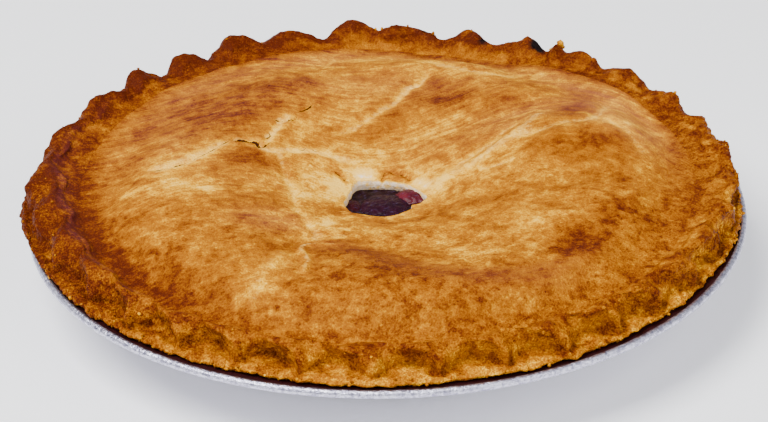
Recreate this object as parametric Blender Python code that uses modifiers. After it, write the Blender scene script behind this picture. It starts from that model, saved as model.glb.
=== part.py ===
"""A cherry pie baked in its foil tin.

The pastry is one solid: a domed lid, a fluted rim that lies on the tin's flange,
and a bottom crust that follows the tin, open only at the vent in the lid. The
filling is a second solid that fills the pastry and shows in the vent, and the
foil tin with its rolled bead is the third.

Lengths are in millimetres until each mesh is scaled to metres. The origin is the
centre of the tin's base, +Z is up, and an angle of 0 points along +X.
"""
import math

import bpy
import numpy as np

MM = 0.001
GAP = 0.3

# Foil tin
TIN_FOIL = 0.3
TIN_BASE_RADIUS = 79.5
TIN_HEEL = 3.0
TIN_HEEL_HEIGHT = 1.4
TIN_WALL_TOP_RADIUS = 106.0
TIN_FLANGE_TOP = 23.4
TIN_BEAD_RADIUS = 1.25
TIN_BEAD_CENTRE = (113.1, 22.6)
TIN_BEAD_STEPS = 7
TIN_STEPS = 68

# Flutes of the rim
FLUTES = 34
STEPS_PER_FLUTE = 4
FIRST_FLUTE = 29.8
FLUTE_DRIFT = ((0.3, 1), (2.45, 2))
FLUTE_DRIFT_FROM = 105.0
FLUTE_SEED = 11

# Pastry rim: radii, and heights over RIM_LEVEL, the level of the bead's underside
RIM_LEVEL = 21.5
CREST_HEIGHT_FRONT = 12.6
CREST_HEIGHT_BACK = 16.4
CREST_UNEVEN = (
    # middle in degrees, spread in degrees, extra height
    (152.0, 34.0, 0.8),
    (98.0, 12.0, 1.2),
    (76.0, 9.0, -2.4),
)
CREST_RADIUS = 104.1
CREST_SWING = 1.5
VALLEY_RADIUS = 97.5
VALLEY_HEIGHT = 7.6
LOBE_RADIUS = 107.1
LOBE_SWING = 1.9
FOOT_RADIUS = 107.3
FOOT_HEIGHT = 4.6
RIM_LEANS = (
    # middle in degrees, spread in degrees, how far the ridge leans out
    (20.0, 44.0, 2.0),
    (155.0, 42.0, 3.4),
)
LIP_RADIUS = 111.5
LIP_THICKNESS = 1.3
LIP_SPREADS = (
    # middle in degrees, spread in degrees, extra reach, extra lift
    (180.0, 24.0, 4.9, 1.2),
    (10.0, 30.0, 1.9, 0.5),
    (90.0, 50.0, 1.6, 0.5),
    (270.0, 22.0, 1.0, 0.0),
)

# Lid and its broad forms
LID_SECTION = ((12.5, 26.5), (20.0, 28.5), (30.0, 31.1), (42.0, 33.7), (56.0, 35.7),
               (70.0, 36.5), (82.0, 35.3), (90.0, 32.7))
LID_THICKNESS = 4.6
LID_HUMPS = (
    # centre x, centre y, spread along x, spread along y, height
    (58.0, 22.0, 18.0, 15.0, 2.6),
    (22.0, -74.0, 40.0, 13.0, 2.2),
    (-36.0, 58.0, 32.0, 16.0, 1.6),
    (20.0, 82.0, 34.0, 10.0, 1.6),
    (38.0, 38.0, 22.0, 6.0, -1.8),
    (20.0, -44.0, 36.0, 8.0, -3.2),
    (-26.0, -46.0, 9.0, 18.0, -1.0),
)

# Vent, as corners of its outline: angle in degrees and radius
VENT_OUTLINE = ((-5.0, 12.9), (25.0, 11.6), (90.0, 11.8), (150.0, 13.0), (198.0, 14.7),
                (227.0, 16.4), (268.0, 14.5), (303.0, 12.8), (322.0, 10.4))
VENT_TAPER = 0.8

# Bottom crust and the space for the filling
BOTTOM_THICKNESS = 3.6
SEAL_RADIUS = 95.0
SEAL_HEIGHT = 24.0
FILLING_LEVEL = 21.7
FILLING_STEPS = 40


def unit_smooth(x):
    """A smooth step that is 0 below 0 and 1 above 1."""
    x = np.clip(x, 0.0, 1.0)
    return x * x * (3.0 - 2.0 * x)


def flute_drift(degrees):
    """How far the flutes have crept round the rim from an even spacing, in degrees."""
    turn = np.radians(degrees - FLUTE_DRIFT_FROM)
    return sum(size * np.cos(order * turn) for size, order in FLUTE_DRIFT)


def flute_angle(phase):
    """The angle in degrees of a place on the rim counted in flutes, whole at each crest."""
    even = FIRST_FLUTE + phase * 360.0 / FLUTES
    angle = even
    for _ in range(6):
        angle = even + flute_drift(angle)
    return angle


def lobe_wave(phase):
    """The swell of a flute: 1 at its middle and 0 in the sharp groove between two."""
    return np.abs(np.cos(np.pi * phase))


def flute_trait(phase, column):
    """A trait of each flute from -1 to 1, blended in the grooves: 0 its height, 1 its reach."""
    traits = np.random.default_rng(FLUTE_SEED).uniform(-1.0, 1.0, (FLUTES, 2))[:, column]
    below = np.floor(phase)
    blend = unit_smooth(phase - below)
    first = traits[below.astype(int) % FLUTES]
    second = traits[(below.astype(int) + 1) % FLUTES]
    return first * (1.0 - blend) + second * blend


def around(degrees, centre, spread):
    """A bell of height 1 about an angle on the rim."""
    away = (degrees - centre + 180.0) % 360.0 - 180.0
    return np.exp(-(away / spread) ** 2)


def vent_radius(degrees):
    """The radius of the vent's ragged outline, straight between its corners."""
    angles, radii = np.array(VENT_OUTLINE).T
    return np.interp(degrees, angles, radii, period=360.0)


def lid_relief(x, y):
    """The lid's broad humps and hollows over its turned section."""
    relief = np.zeros_like(x)
    for hump_x, hump_y, spread_x, spread_y, height in LID_HUMPS:
        relief += height * np.exp(-((x - hump_x) / spread_x) ** 2 - ((y - hump_y) / spread_y) ** 2)
    return relief


def tin_wall_radius(z, inset):
    """The radius at height z of a surface that lies inset from the tin's sloping wall."""
    slope = (TIN_WALL_TOP_RADIUS - TIN_BASE_RADIUS) / TIN_FLANGE_TOP
    return TIN_BASE_RADIUS + slope * z - inset * math.hypot(1.0, slope)


def crust_sections(degrees, phase):
    """The pastry's section at each angle, as radii and heights in two arrays.

    A section runs from the middle of the space inside, over the floor, up the wall
    and under the lid to the vent, then over the lid and the rim, down the outside
    and back under the bottom crust to the middle.
    """
    even = np.ones_like(degrees)
    swell = lobe_wave(phase)
    tall = flute_trait(phase, 0)
    reach = flute_trait(phase, 1)
    base = TIN_FOIL + GAP
    floor = base + BOTTOM_THICKNESS
    inside = base + BOTTOM_THICKNESS
    heel = TIN_HEEL_HEIGHT + base
    rows = [
        (0.0 * even, floor * even),
        (tin_wall_radius(floor, inside) * even, floor * even),
        (SEAL_RADIUS * even, (SEAL_HEIGHT - 5.0) * even),
        ((SEAL_RADIUS - 2.0) * even, SEAL_HEIGHT * even),
    ]
    for radius, height in reversed(LID_SECTION[1:-1:2]):
        rows.append((radius * even, (height - LID_THICKNESS) * even))
    vent = vent_radius(degrees)
    rows.append((vent - VENT_TAPER, (LID_SECTION[0][1] - LID_THICKNESS) * even))
    rows.append((vent, LID_SECTION[0][1] * even))
    for radius, height in LID_SECTION[1:]:
        radius = np.maximum(radius, vent + 0.35 * (radius - LID_SECTION[0][0]))
        x = radius * np.cos(np.radians(degrees))
        y = radius * np.sin(np.radians(degrees))
        rows.append((radius, height + lid_relief(x, y)))
    to_back = 0.5 + 0.5 * np.sin(np.radians(degrees))
    crest = CREST_HEIGHT_FRONT + (CREST_HEIGHT_BACK - CREST_HEIGHT_FRONT) * to_back
    crest = crest + sum(size * around(degrees, middle, width) for middle, width, size in CREST_UNEVEN)
    crest = RIM_LEVEL + crest + CREST_SWING * (2.0 * swell - 1.2) + 1.2 * tall
    valley = RIM_LEVEL + VALLEY_HEIGHT + 1.6 * to_back
    swing = LOBE_SWING * (2.0 * swell - 1.1) + 0.5 * reach
    spread = sum(size * around(degrees, middle, width) for middle, width, size, _ in LIP_SPREADS)
    lift = sum(rise * around(degrees, middle, width) for middle, width, _, rise in LIP_SPREADS)
    lip = LIP_RADIUS + spread + 0.35 * reach
    lean = sum(size * around(degrees, middle, width) for middle, width, size in RIM_LEANS)
    under = TIN_FLANGE_TOP + GAP
    lip_under = under + 0.5 + lift
    rows += [
        (VALLEY_RADIUS + 0.8 * (1.0 - swell), valley + 0.9 * (1.0 - swell)),
        (CREST_RADIUS - 3.2 + 0.4 * swing + lean, valley + 0.62 * (crest - valley)),
        (CREST_RADIUS + 0.6 * swing + lean, crest),
        (LOBE_RADIUS + swing + lean, RIM_LEVEL + 0.7 * (crest - RIM_LEVEL)),
        (np.minimum(FOOT_RADIUS + swing + lean, lip - 0.9), RIM_LEVEL + FOOT_HEIGHT + 0.5 * lift - 0.6 * swell),
        (lip - 0.5, lip_under + LIP_THICKNESS),
        (lip, lip_under),
        ((TIN_WALL_TOP_RADIUS + 2.0) * even, (under + 0.2) * even),
        (tin_wall_radius(TIN_FLANGE_TOP, base) * even, under * even),
        (tin_wall_radius(heel, base) * even, heel * even),
        ((TIN_BASE_RADIUS - TIN_HEEL) * even, base * even),
        (0.0 * even, base * even),
    ]
    radii, heights = (np.array(column) for column in zip(*rows))
    return radii, heights


def filling_section():
    """The filling's section, from the middle of its top out under the lid and down to the floor."""
    inside = BOTTOM_THICKNESS + 2.0 * GAP + TIN_FOIL
    floor = TIN_FOIL + 2.0 * GAP + BOTTOM_THICKNESS
    clear = 1.5 * GAP
    vent = max(radius for _, radius in VENT_OUTLINE)
    section = [(0.0, FILLING_LEVEL - 0.5), (vent - 5.0, FILLING_LEVEL - 0.2)]
    section.append((vent, LID_SECTION[0][1] - LID_THICKNESS - clear))
    for radius, height in LID_SECTION[1:-1:2]:
        section.append((radius, height - LID_THICKNESS - clear))
    section.append((SEAL_RADIUS - 2.0 - clear, SEAL_HEIGHT - clear))
    section.append((SEAL_RADIUS - clear, SEAL_HEIGHT - 5.0))
    section.append((tin_wall_radius(floor, inside), floor))
    section.append((0.0, floor))
    return section


def tin_section():
    """The tin's closed section: its floor and wall inside, the bead, then its wall and floor outside."""
    foil = TIN_FOIL
    bead_r, bead_z = TIN_BEAD_CENTRE
    size = TIN_BEAD_RADIUS
    start = math.pi - math.asin((TIN_FLANGE_TOP - bead_z) / size)
    end = -math.pi - math.asin((TIN_FLANGE_TOP - foil - bead_z) / size)
    heel = TIN_HEEL_HEIGHT
    section = [
        (0.0, foil),
        (TIN_BASE_RADIUS - TIN_HEEL, foil),
        (tin_wall_radius(heel + foil, foil), heel + foil),
        (tin_wall_radius(TIN_FLANGE_TOP, foil), TIN_FLANGE_TOP),
    ]
    for step in range(TIN_BEAD_STEPS + 1):
        angle = start + (end - start) * step / TIN_BEAD_STEPS
        section.append((bead_r + size * math.cos(angle), bead_z + size * math.sin(angle)))
    section += [
        (tin_wall_radius(TIN_FLANGE_TOP - foil, 0.0), TIN_FLANGE_TOP - foil),
        (tin_wall_radius(heel, 0.0), heel),
        (TIN_BASE_RADIUS - TIN_HEEL, 0.0),
        (0.0, 0.0),
    ]
    return section


def turned(name, section, steps):
    """A section turned about +Z by a Screw modifier, as a mesh of its own."""
    guide = bpy.data.meshes.new(name + "_section")
    points = [(radius * MM, 0.0, height * MM) for radius, height in section]
    guide.from_pydata(points, [(i, i + 1) for i in range(len(points) - 1)], [])
    helper = bpy.data.objects.new(name + "_section", guide)
    bpy.context.scene.collection.objects.link(helper)
    screw = helper.modifiers.new("turn", "SCREW")
    screw.axis = "Z"
    screw.steps = steps
    screw.render_steps = steps
    screw.use_merge_vertices = True
    screw.merge_threshold = 0.00001
    evaluated = helper.evaluated_get(bpy.context.evaluated_depsgraph_get())
    mesh = bpy.data.meshes.new_from_object(evaluated)
    mesh.name = name
    bpy.data.objects.remove(helper)
    bpy.data.meshes.remove(guide)
    return mesh


def food(name, colour, roughness, metallic=0.0):
    """A plain Principled material."""
    material = bpy.data.materials.new(name)
    material.use_nodes = True
    shader = material.node_tree.nodes["Principled BSDF"]
    shader.inputs["Base Color"].default_value = (*colour, 1.0)
    shader.inputs["Roughness"].default_value = roughness
    shader.inputs["Metallic"].default_value = metallic
    return material


def placed(name, mesh, material, collection):
    """A smooth-shaded object for a finished mesh."""
    mesh.materials.clear()
    mesh.materials.append(material)
    mesh.shade_smooth()
    mesh.set_sharp_from_angle(angle=math.radians(50.0))
    piece = bpy.data.objects.new(name, mesh)
    collection.objects.link(piece)
    return piece


def shape_crust(mesh):
    """Move each point of the turned pastry to its place on the fluted, humped section."""
    count = len(mesh.vertices)
    points = np.empty(count * 3)
    mesh.vertices.foreach_get("co", points)
    x, y, z = points.reshape(count, 3).T / MM
    even_phase = np.degrees(np.arctan2(y, x)) % 360.0 * FLUTES / 360.0
    middle = np.hypot(x, y) < 0.5
    station = nearest_station(np.hypot(x, y), z)
    degrees = flute_angle(even_phase)
    radii, heights = crust_sections(degrees, even_phase)
    here = np.arange(count)
    radius = np.where(middle, 0.0, radii[station, here])
    height = heights[station, here]
    turn = np.radians(degrees)
    moved = np.stack([radius * np.cos(turn), radius * np.sin(turn), height], axis=1) * MM
    mesh.vertices.foreach_set("co", moved.astype(np.float32).ravel())
    mesh.update()


def plain_section():
    """The pastry's section before shaping, which only has to tell its stations apart."""
    radii, heights = crust_sections(np.array([300.0]), np.array([0.25]))
    return list(zip(radii[:, 0], heights[:, 0]))


def nearest_station(radius, height):
    """The station of the plain section that each point stands on."""
    stations = np.array(plain_section())
    away = (radius[:, None] - stations[None, :, 0]) ** 2 + (height[:, None] - stations[None, :, 1]) ** 2
    return np.argmin(away, axis=1)


def build():
    """Make the three pieces in a collection of their own."""
    for old in list(bpy.data.objects):
        bpy.data.objects.remove(old)
    pie = bpy.data.collections.new("cherry_pie")
    bpy.context.scene.collection.children.link(pie)
    foil = food("foil", (0.78, 0.79, 0.82), 0.28, 1.0)
    pastry = food("baked_pastry", (0.58, 0.28, 0.06), 0.55)
    cherries = food("cherry_filling", (0.09, 0.01, 0.02), 0.2)
    placed("pie_tin", turned("pie_tin", tin_section(), TIN_STEPS), foil, pie)
    crust = turned("crust", plain_section(), FLUTES * STEPS_PER_FLUTE)
    shape_crust(crust)
    placed("crust", crust, pastry, pie)
    placed("cherry_filling", turned("cherry_filling", filling_section(), FILLING_STEPS), cherries, pie)


build()
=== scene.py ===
"""Cherry pie in its foil tin: the finished surfaces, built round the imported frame.

Every shape is designed in millimetres and written to its mesh in metres. The origin
is the centre of the tin's base, +Z is up, and an angle of 0 degrees points along +X,
so that 270 degrees is the side towards the camera. Heights of the pastry's rim are
measured from the level of the tin's bead.
"""
import logging
import math
from dataclasses import dataclass
from enum import Enum

import bpy
import numpy as np
from mathutils import Matrix, Vector


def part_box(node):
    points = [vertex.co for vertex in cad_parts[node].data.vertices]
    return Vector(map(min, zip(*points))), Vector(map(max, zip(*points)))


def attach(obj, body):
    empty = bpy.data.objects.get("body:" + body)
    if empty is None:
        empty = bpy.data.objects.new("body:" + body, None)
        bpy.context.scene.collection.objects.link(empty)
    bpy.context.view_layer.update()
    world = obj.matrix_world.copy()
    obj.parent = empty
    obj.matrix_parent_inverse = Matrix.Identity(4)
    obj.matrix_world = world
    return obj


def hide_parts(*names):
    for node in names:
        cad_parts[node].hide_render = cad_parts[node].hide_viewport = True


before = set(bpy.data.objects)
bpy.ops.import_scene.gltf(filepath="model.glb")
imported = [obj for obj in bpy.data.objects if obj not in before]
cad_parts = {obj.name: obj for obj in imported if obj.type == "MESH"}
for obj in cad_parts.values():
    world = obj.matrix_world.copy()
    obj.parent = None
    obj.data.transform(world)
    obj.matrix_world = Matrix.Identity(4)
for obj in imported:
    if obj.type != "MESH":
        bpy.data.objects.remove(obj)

Array = np.ndarray
Blocks = list[Array]
Fields = dict[str, Array]
Triple = tuple[float, float, float]
Pairs = tuple[tuple[float, float], ...]
Colour = tuple[int, int, int]
Stops = tuple[tuple[float, Colour], ...]
Material = bpy.types.Material
Socket = bpy.types.NodeSocket
MM = 0.001
FAR = 14.0  # a distance in millimetres at which a crease no longer counts
LOG = logging.getLogger("cherry_pie")
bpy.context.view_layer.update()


# ---- Arithmetic on whole arrays ----

def smooth(x: Array) -> Array:
    """Return the smooth step 3x^2 - 2x^3, held at 0 below 0 and at 1 above 1."""
    x = np.clip(x, 0.0, 1.0)
    return x * x * (3.0 - 2.0 * x)


def mix(a: Array, b: Array, share: Array) -> Array:
    """Return a where share is 0 and b where it is 1, straight in between."""
    return a + (b - a) * share


def polar(x: Array, y: Array) -> tuple[Array, Array]:
    """Return the radius and the angle in degrees of points in plan."""
    return np.hypot(x, y), np.degrees(np.arctan2(y, x))


def through(x: Array, stations: Pairs) -> Array:
    """Read a smooth curve through stations.

    Between two stations the curve is the cubic whose slopes at both are the mean
    slopes to their neighbours.

    Args:
        x: where to read the curve; it is held at its ends.
        stations: (x, value) pairs in rising x.

    Returns:
        The curve's values.
    """
    xs, ys = np.array(stations).T
    slopes = np.gradient(ys, xs)
    x = np.clip(x, xs[0], xs[-1])
    i = np.clip(np.searchsorted(xs, x) - 1, 0, len(xs) - 2)
    step = xs[i + 1] - xs[i]
    t = (x - xs[i]) / step
    return ((2 * t**3 - 3 * t**2 + 1) * ys[i] + (t**3 - 2 * t**2 + t) * step * slopes[i]
            + (3 * t**2 - 2 * t**3) * ys[i + 1] + (t**3 - t**2) * step * slopes[i + 1])


def bump(away: Array, spread: float) -> Array:
    """Return a bell of height 1: exp(-(away / spread)^2)."""
    return np.exp(-(away / spread) ** 2)


def around(degrees: Array, middle: float, spread: float) -> Array:
    """Return a bell of height 1 about an angle, by how far away each angle is."""
    return bump((degrees - middle + 180.0) % 360.0 - 180.0, spread)


def turned(radius: Array | float, turn: Array, height: Array | float) -> Array:
    """Return points at a radius, an angle in radians and a height."""
    parts = radius * np.cos(turn), radius * np.sin(turn), height + 0.0 * turn
    return np.stack(np.broadcast_arrays(*parts), -1)


def full_turn(columns: int) -> Array:
    """Return evenly spaced angles in radians once round from 0."""
    return 2.0 * np.pi * np.arange(columns) / columns


def carried(stations: Array, places: Array) -> Array:
    """Carry a smooth curve through rows of stations, by the Catmull-Rom formula.

    Args:
        stations: an array of rows, each a point or a whole ring of points.
        places: where to read, counted in stations from 0.

    Returns:
        One row for each place.
    """
    last = len(stations) - 1
    i = np.clip(np.floor(places).astype(int), 0, last - 1)
    t = (places - i).reshape((-1,) + (1,) * (stations.ndim - 1))
    p0, p1 = stations[np.maximum(i - 1, 0)], stations[i]
    p2, p3 = stations[i + 1], stations[np.minimum(i + 2, last)]
    return 0.5 * (2 * p1 + (p2 - p0) * t + (2 * p0 - 5 * p1 + 4 * p2 - p3) * t**2
                  + (3 * p1 - p0 - 3 * p2 + p3) * t**3)


class Noise:
    """Seeded gradient noise in space, worked out for whole arrays of points."""

    def __init__(self, seed: int) -> None:
        """Draw the table and the gradients from one seed."""
        draw = np.random.default_rng(seed)
        self.table = np.tile(draw.permutation(256), 3)
        gradients = draw.normal(size=(256, 3))
        self.gradients = gradients / np.linalg.norm(gradients, axis=1, keepdims=True)

    def at(self, points: Array, cell: float) -> Array:
        """Return noise of about -1 to 1: eight corner gradients, blended by a quintic.

        Args:
            points: an array of points, with the last axis x, y and z.
            cell: the width of one cell of noise.

        Returns:
            One value for each point.
        """
        p = points / cell
        base = np.floor(p)
        f = p - base
        c = base.astype(int) & 255
        u = f * f * f * (f * (f * 6.0 - 15.0) + 10.0)
        total = np.zeros(p.shape[:-1])
        for dx in (0, 1):
            for dy in (0, 1):
                for dz in (0, 1):
                    corner = self.table[c[..., 0] + dx]
                    corner = self.table[corner + c[..., 1] + dy]
                    corner = self.table[corner + c[..., 2] + dz]
                    away = f - np.array([dx, dy, dz])
                    weight = np.ones(p.shape[:-1])
                    for axis, high in enumerate((dx, dy, dz)):
                        weight = weight * (u[..., axis] if high else 1.0 - u[..., axis])
                    total += weight * np.einsum("...i,...i", self.gradients[corner], away)
        return total * 1.6

    def layered(self, points: Array, cell: float, layers: int, gain: float = 0.5) -> Array:
        """Return layers of noise, each of half the cell and gain times the height of the last."""
        total, height, reach = np.zeros(points.shape[:-1]), 1.0, 0.0
        for layer in range(layers):
            total += height * self.at(points + 37.1 * layer, cell / 2**layer)
            reach += height
            height *= gain
        return total / reach

    def ridged(self, points: Array, cell: float, layers: int) -> Array:
        """Return sharp crests of height 1 on a floor of 0: 1 - |noise|, squared."""
        return (1.0 - np.clip(np.abs(self.layered(points, cell, layers)), 0.0, 1.0)) ** 2


NOISE = Noise(7)


@dataclass(frozen=True)
class Line:
    """A smooth line on the lid, in plan."""

    points: Pairs

    def path(self) -> Array:
        """Return the line as short straight steps, eight to each span."""
        stations = np.array(self.points)
        return carried(stations, np.linspace(0.0, len(stations) - 1, 8 * (len(stations) - 1) + 1))

    def near(self, x: Array, y: Array, reach: float) -> tuple[Array, Array, Array]:
        """Measure points against the line.

        Args:
            x, y: the points in plan.
            reach: the distance past which a point counts as far from the line.

        Returns:
            The distance to the line, the place along it from 0 to 1, and the side:
            1 on the left hand of someone walking along it, -1 on the right.
        """
        path = self.path()
        low, high = path.min(0) - reach, path.max(0) + reach
        close = (x > low[0]) & (x < high[0]) & (y > low[1]) & (y < high[1])
        px, py = x[close], y[close]
        best, along, side = np.full(px.shape, reach), np.zeros(px.shape), np.ones(px.shape)
        for step, (a, b) in enumerate(zip(path[:-1], path[1:])):
            run = b - a
            t = np.clip(((px - a[0]) * run[0] + (py - a[1]) * run[1]) / (run @ run), 0.0, 1.0)
            away = np.hypot(px - a[0] - t * run[0], py - a[1] - t * run[1])
            closer = away < best
            best = np.where(closer, away, best)
            along = np.where(closer, (step + t) / (len(path) - 1), along)
            hand = np.where(run[0] * (py - a[1]) - run[1] * (px - a[0]) < 0.0, -1.0, 1.0)
            side = np.where(closer, hand, side)
        whole = [np.full(x.shape, far) for far in (reach, 0.0, 1.0)]
        for every, part in zip(whole, (best, along, side)):
            every[close] = part
        return whole[0], whole[1], whole[2]


@dataclass(frozen=True)
class Patch:
    """A soft oval: a bell over two coordinates, x and y in plan or the like, turned by an angle."""

    x: float
    y: float
    along: float
    across: float
    turn: float
    amount: float

    def at(self, x: Array, y: Array) -> Array:
        """Return amount * exp(-(u / along)^2 - (v / across)^2) in the oval's own u and v."""
        c, s = math.cos(math.radians(self.turn)), math.sin(math.radians(self.turn))
        u = (x - self.x) * c + (y - self.y) * s
        v = (y - self.y) * c - (x - self.x) * s
        return self.amount * np.exp(-(u / self.along) ** 2 - (v / self.across) ** 2)


@dataclass(frozen=True)
class Bell:
    """Something that swells about one angle of the rim."""

    middle: float
    spread: float
    size: float

    def at(self, degrees: Array) -> Array:
        """Return the swelling at angles in degrees."""
        return self.size * around(degrees, self.middle, self.spread)


Patches = tuple[Patch, ...]
Bells = tuple[Bell, ...]


def ovals(*rows: tuple[float, ...]) -> Patches:
    """Return patches from rows of x, y, half length, half width, turn and amount."""
    return tuple(Patch(*row) for row in rows)


def patches(x: Array, y: Array, several: Patches) -> Array:
    """Return the sum of several patches."""
    return sum((patch.at(x, y) for patch in several), np.zeros(x.shape))


def bells(degrees: Array, swellings: Bells) -> Array:
    """Return the sum of several swellings."""
    return sum((swelling.at(degrees) for swelling in swellings), np.zeros(degrees.shape))


@dataclass(frozen=True)
class Crease:
    """A line where the lid folded, stretched or cracked.

    Across it the lid sinks by depth * exp(-(d / width)^2) and swells by a third of that
    on both sides. It is cream to a distance of pale. Where it is a crack, its two edges
    stand gape apart at its middle.
    """

    points: Pairs
    width: float
    depth: float
    pale: float
    cream: float
    gape: float = 0.0

    def relief(self, x: Array, y: Array) -> tuple[Array, Array, Array, Array]:
        """Measure the crease at points in plan.

        Args:
            x, y: the points.

        Returns:
            The change of height, how creamy it is, the distance to the line with a
            sign for the side, and half the gape there.
        """
        away, along, side = Line(self.points).near(x, y, FAR)
        ends = smooth(along / 0.15) * smooth((1.0 - along) / 0.15)
        dip = bump(away, self.width) - 0.33 * bump(away - 2.0 * self.width, self.width)
        cream = self.cream * bump(away, self.pale) * (0.3 + 0.7 * ends)
        return -self.depth * dip * ends, cream, away * side, 0.5 * self.gape * ends


# ---- Meshes from arrays ----

def grid_faces(rows: int, columns: int, start: int = 0) -> Array:
    """Return the quads between rows of points that close on themselves.

    Args:
        rows: the number of rings.
        columns: the points of each ring.
        start: the number of the first point.

    Returns:
        An array of four point numbers a quad. Where rows run outward and down and
        columns run anticlockwise from above, the quads face up and out.
    """
    r, c = np.meshgrid(np.arange(rows - 1), np.arange(columns), indexing="ij")
    a = start + r * columns + c
    b = start + r * columns + (c + 1) % columns
    return np.stack([a, a + columns, b + columns, b], -1).reshape(-1, 4)


def zipped(few: Array, many: Array) -> Array:
    """Join two closed rings of unlike counts with triangles.

    Args:
        few: the point numbers of the ring with fewer points.
        many: those of the other ring, starting at the same angle.

    Returns:
        An array of three point numbers a triangle, facing as a quad would that runs
        from few to many.
    """
    m = np.arange(len(many))
    low = (m * len(few)) // len(many)
    after = ((m + 1) * len(few)) // len(many)
    fans = np.stack([few[low % len(few)], many[m], many[(m + 1) % len(many)]], -1)
    steps = np.nonzero(after != low)[0]
    links = np.stack([few[low[steps] % len(few)], many[(steps + 1) % len(many)],
                      few[after[steps] % len(few)]], -1)
    return np.concatenate([fans, links])


def fan(centre: int, ring: Array) -> Array:
    """Return the triangles from one point to each step of a ring."""
    return np.stack([np.full(len(ring), centre), ring, np.roll(ring, -1)], -1)


def capped(rings: Array, top: Array, bottom: Array) -> tuple[Array, Blocks]:
    """Close a stack of rings with a fan at each end.

    Args:
        rings: rows by columns by (x, y, z), running outward and down.
        top, bottom: the middle points of the first and of the last ring.

    Returns:
        The points, with top and bottom last, and the blocks of faces.
    """
    rows, columns = rings.shape[:2]
    count, ring = rows * columns, np.arange(columns)
    faces = [grid_faces(rows, columns), fan(count, ring), fan(count + 1, count - columns + ring)[:, ::-1]]
    return np.concatenate([rings.reshape(-1, 3), np.array([top, bottom])]), faces


def vertex_normals(points: Array, faces: Blocks) -> Array:
    """Return each point's normal, not yet scaled to 1: the sum of its faces' areas as vectors."""
    total = np.zeros_like(points)
    for block in faces:
        corners = points[block]
        area = np.cross(corners[:, 2] - corners[:, 0], corners[:, -1] - corners[:, 1])
        for k in range(block.shape[1]):
            np.add.at(total, block[:, k], area)
    return total


def scaled_to_one(vectors: Array) -> Array:
    """Return vectors of length 1."""
    return vectors / np.maximum(np.linalg.norm(vectors, axis=-1, keepdims=True), 1e-12)


def make_piece(name: str, points: Array, faces: Blocks, material: Material,
               fields: Fields | None = None, normals: Array | None = None) -> bpy.types.Object:
    """Put arrays into a smooth-shaded mesh and link its object.

    Args:
        name: the piece's name.
        points: its points in millimetres.
        faces: blocks of faces, each an array with three or four columns.
        material: its finish.
        fields: named values at the points, for the finish to read.
        normals: normals to shade with, in place of the mesh's own.

    Returns:
        The object, which sits at the origin.
    """
    mesh = bpy.data.meshes.new(name)
    counts = np.concatenate([np.full(len(block), block.shape[1]) for block in faces])
    loops = np.concatenate([block.ravel() for block in faces])
    mesh.vertices.add(len(points))
    mesh.vertices.foreach_set("co", (points * MM).astype(np.float32).ravel())
    mesh.loops.add(len(loops))
    mesh.loops.foreach_set("vertex_index", loops.astype(np.int32))
    mesh.polygons.add(len(counts))
    starts = np.concatenate([[0], np.cumsum(counts)[:-1]])
    mesh.polygons.foreach_set("loop_start", starts.astype(np.int32))
    mesh.update(calc_edges=True)
    mesh.validate()
    mesh.shade_smooth()
    for key, values in (fields or {}).items():
        kind, slot = ("FLOAT", "value") if values.ndim == 1 else ("FLOAT_VECTOR", "vector")
        mesh.attributes.new(key, kind, "POINT").data.foreach_set(slot, values.astype(np.float32).ravel())
    if normals is not None:
        mesh.normals_split_custom_set_from_vertices(scaled_to_one(normals).tolist())
    mesh.materials.append(material)
    piece = bpy.data.objects.new(name, mesh)
    bpy.context.scene.collection.objects.link(piece)
    return piece


def finish_piece(piece: bpy.types.Object, slot: str, *stands_for: str) -> None:
    """Ride a piece on the pie's one body and hide the solids it stands for."""
    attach(piece, "root")
    if stands_for:
        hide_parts(*stands_for)
    LOG.info("%s: %d faces", piece.name, len(piece.data.polygons))


# ---- Finishes ----

def tint(red: int, green: int, blue: int) -> tuple[float, float, float, float]:
    """Return a display colour, given from 0 to 255, as the linear colour that a shader takes."""
    linear = [((v / 255 + 0.055) / 1.055) ** 2.4 if v > 10 else v / 255 / 12.92 for v in (red, green, blue)]
    return linear[0], linear[1], linear[2], 1.0


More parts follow.
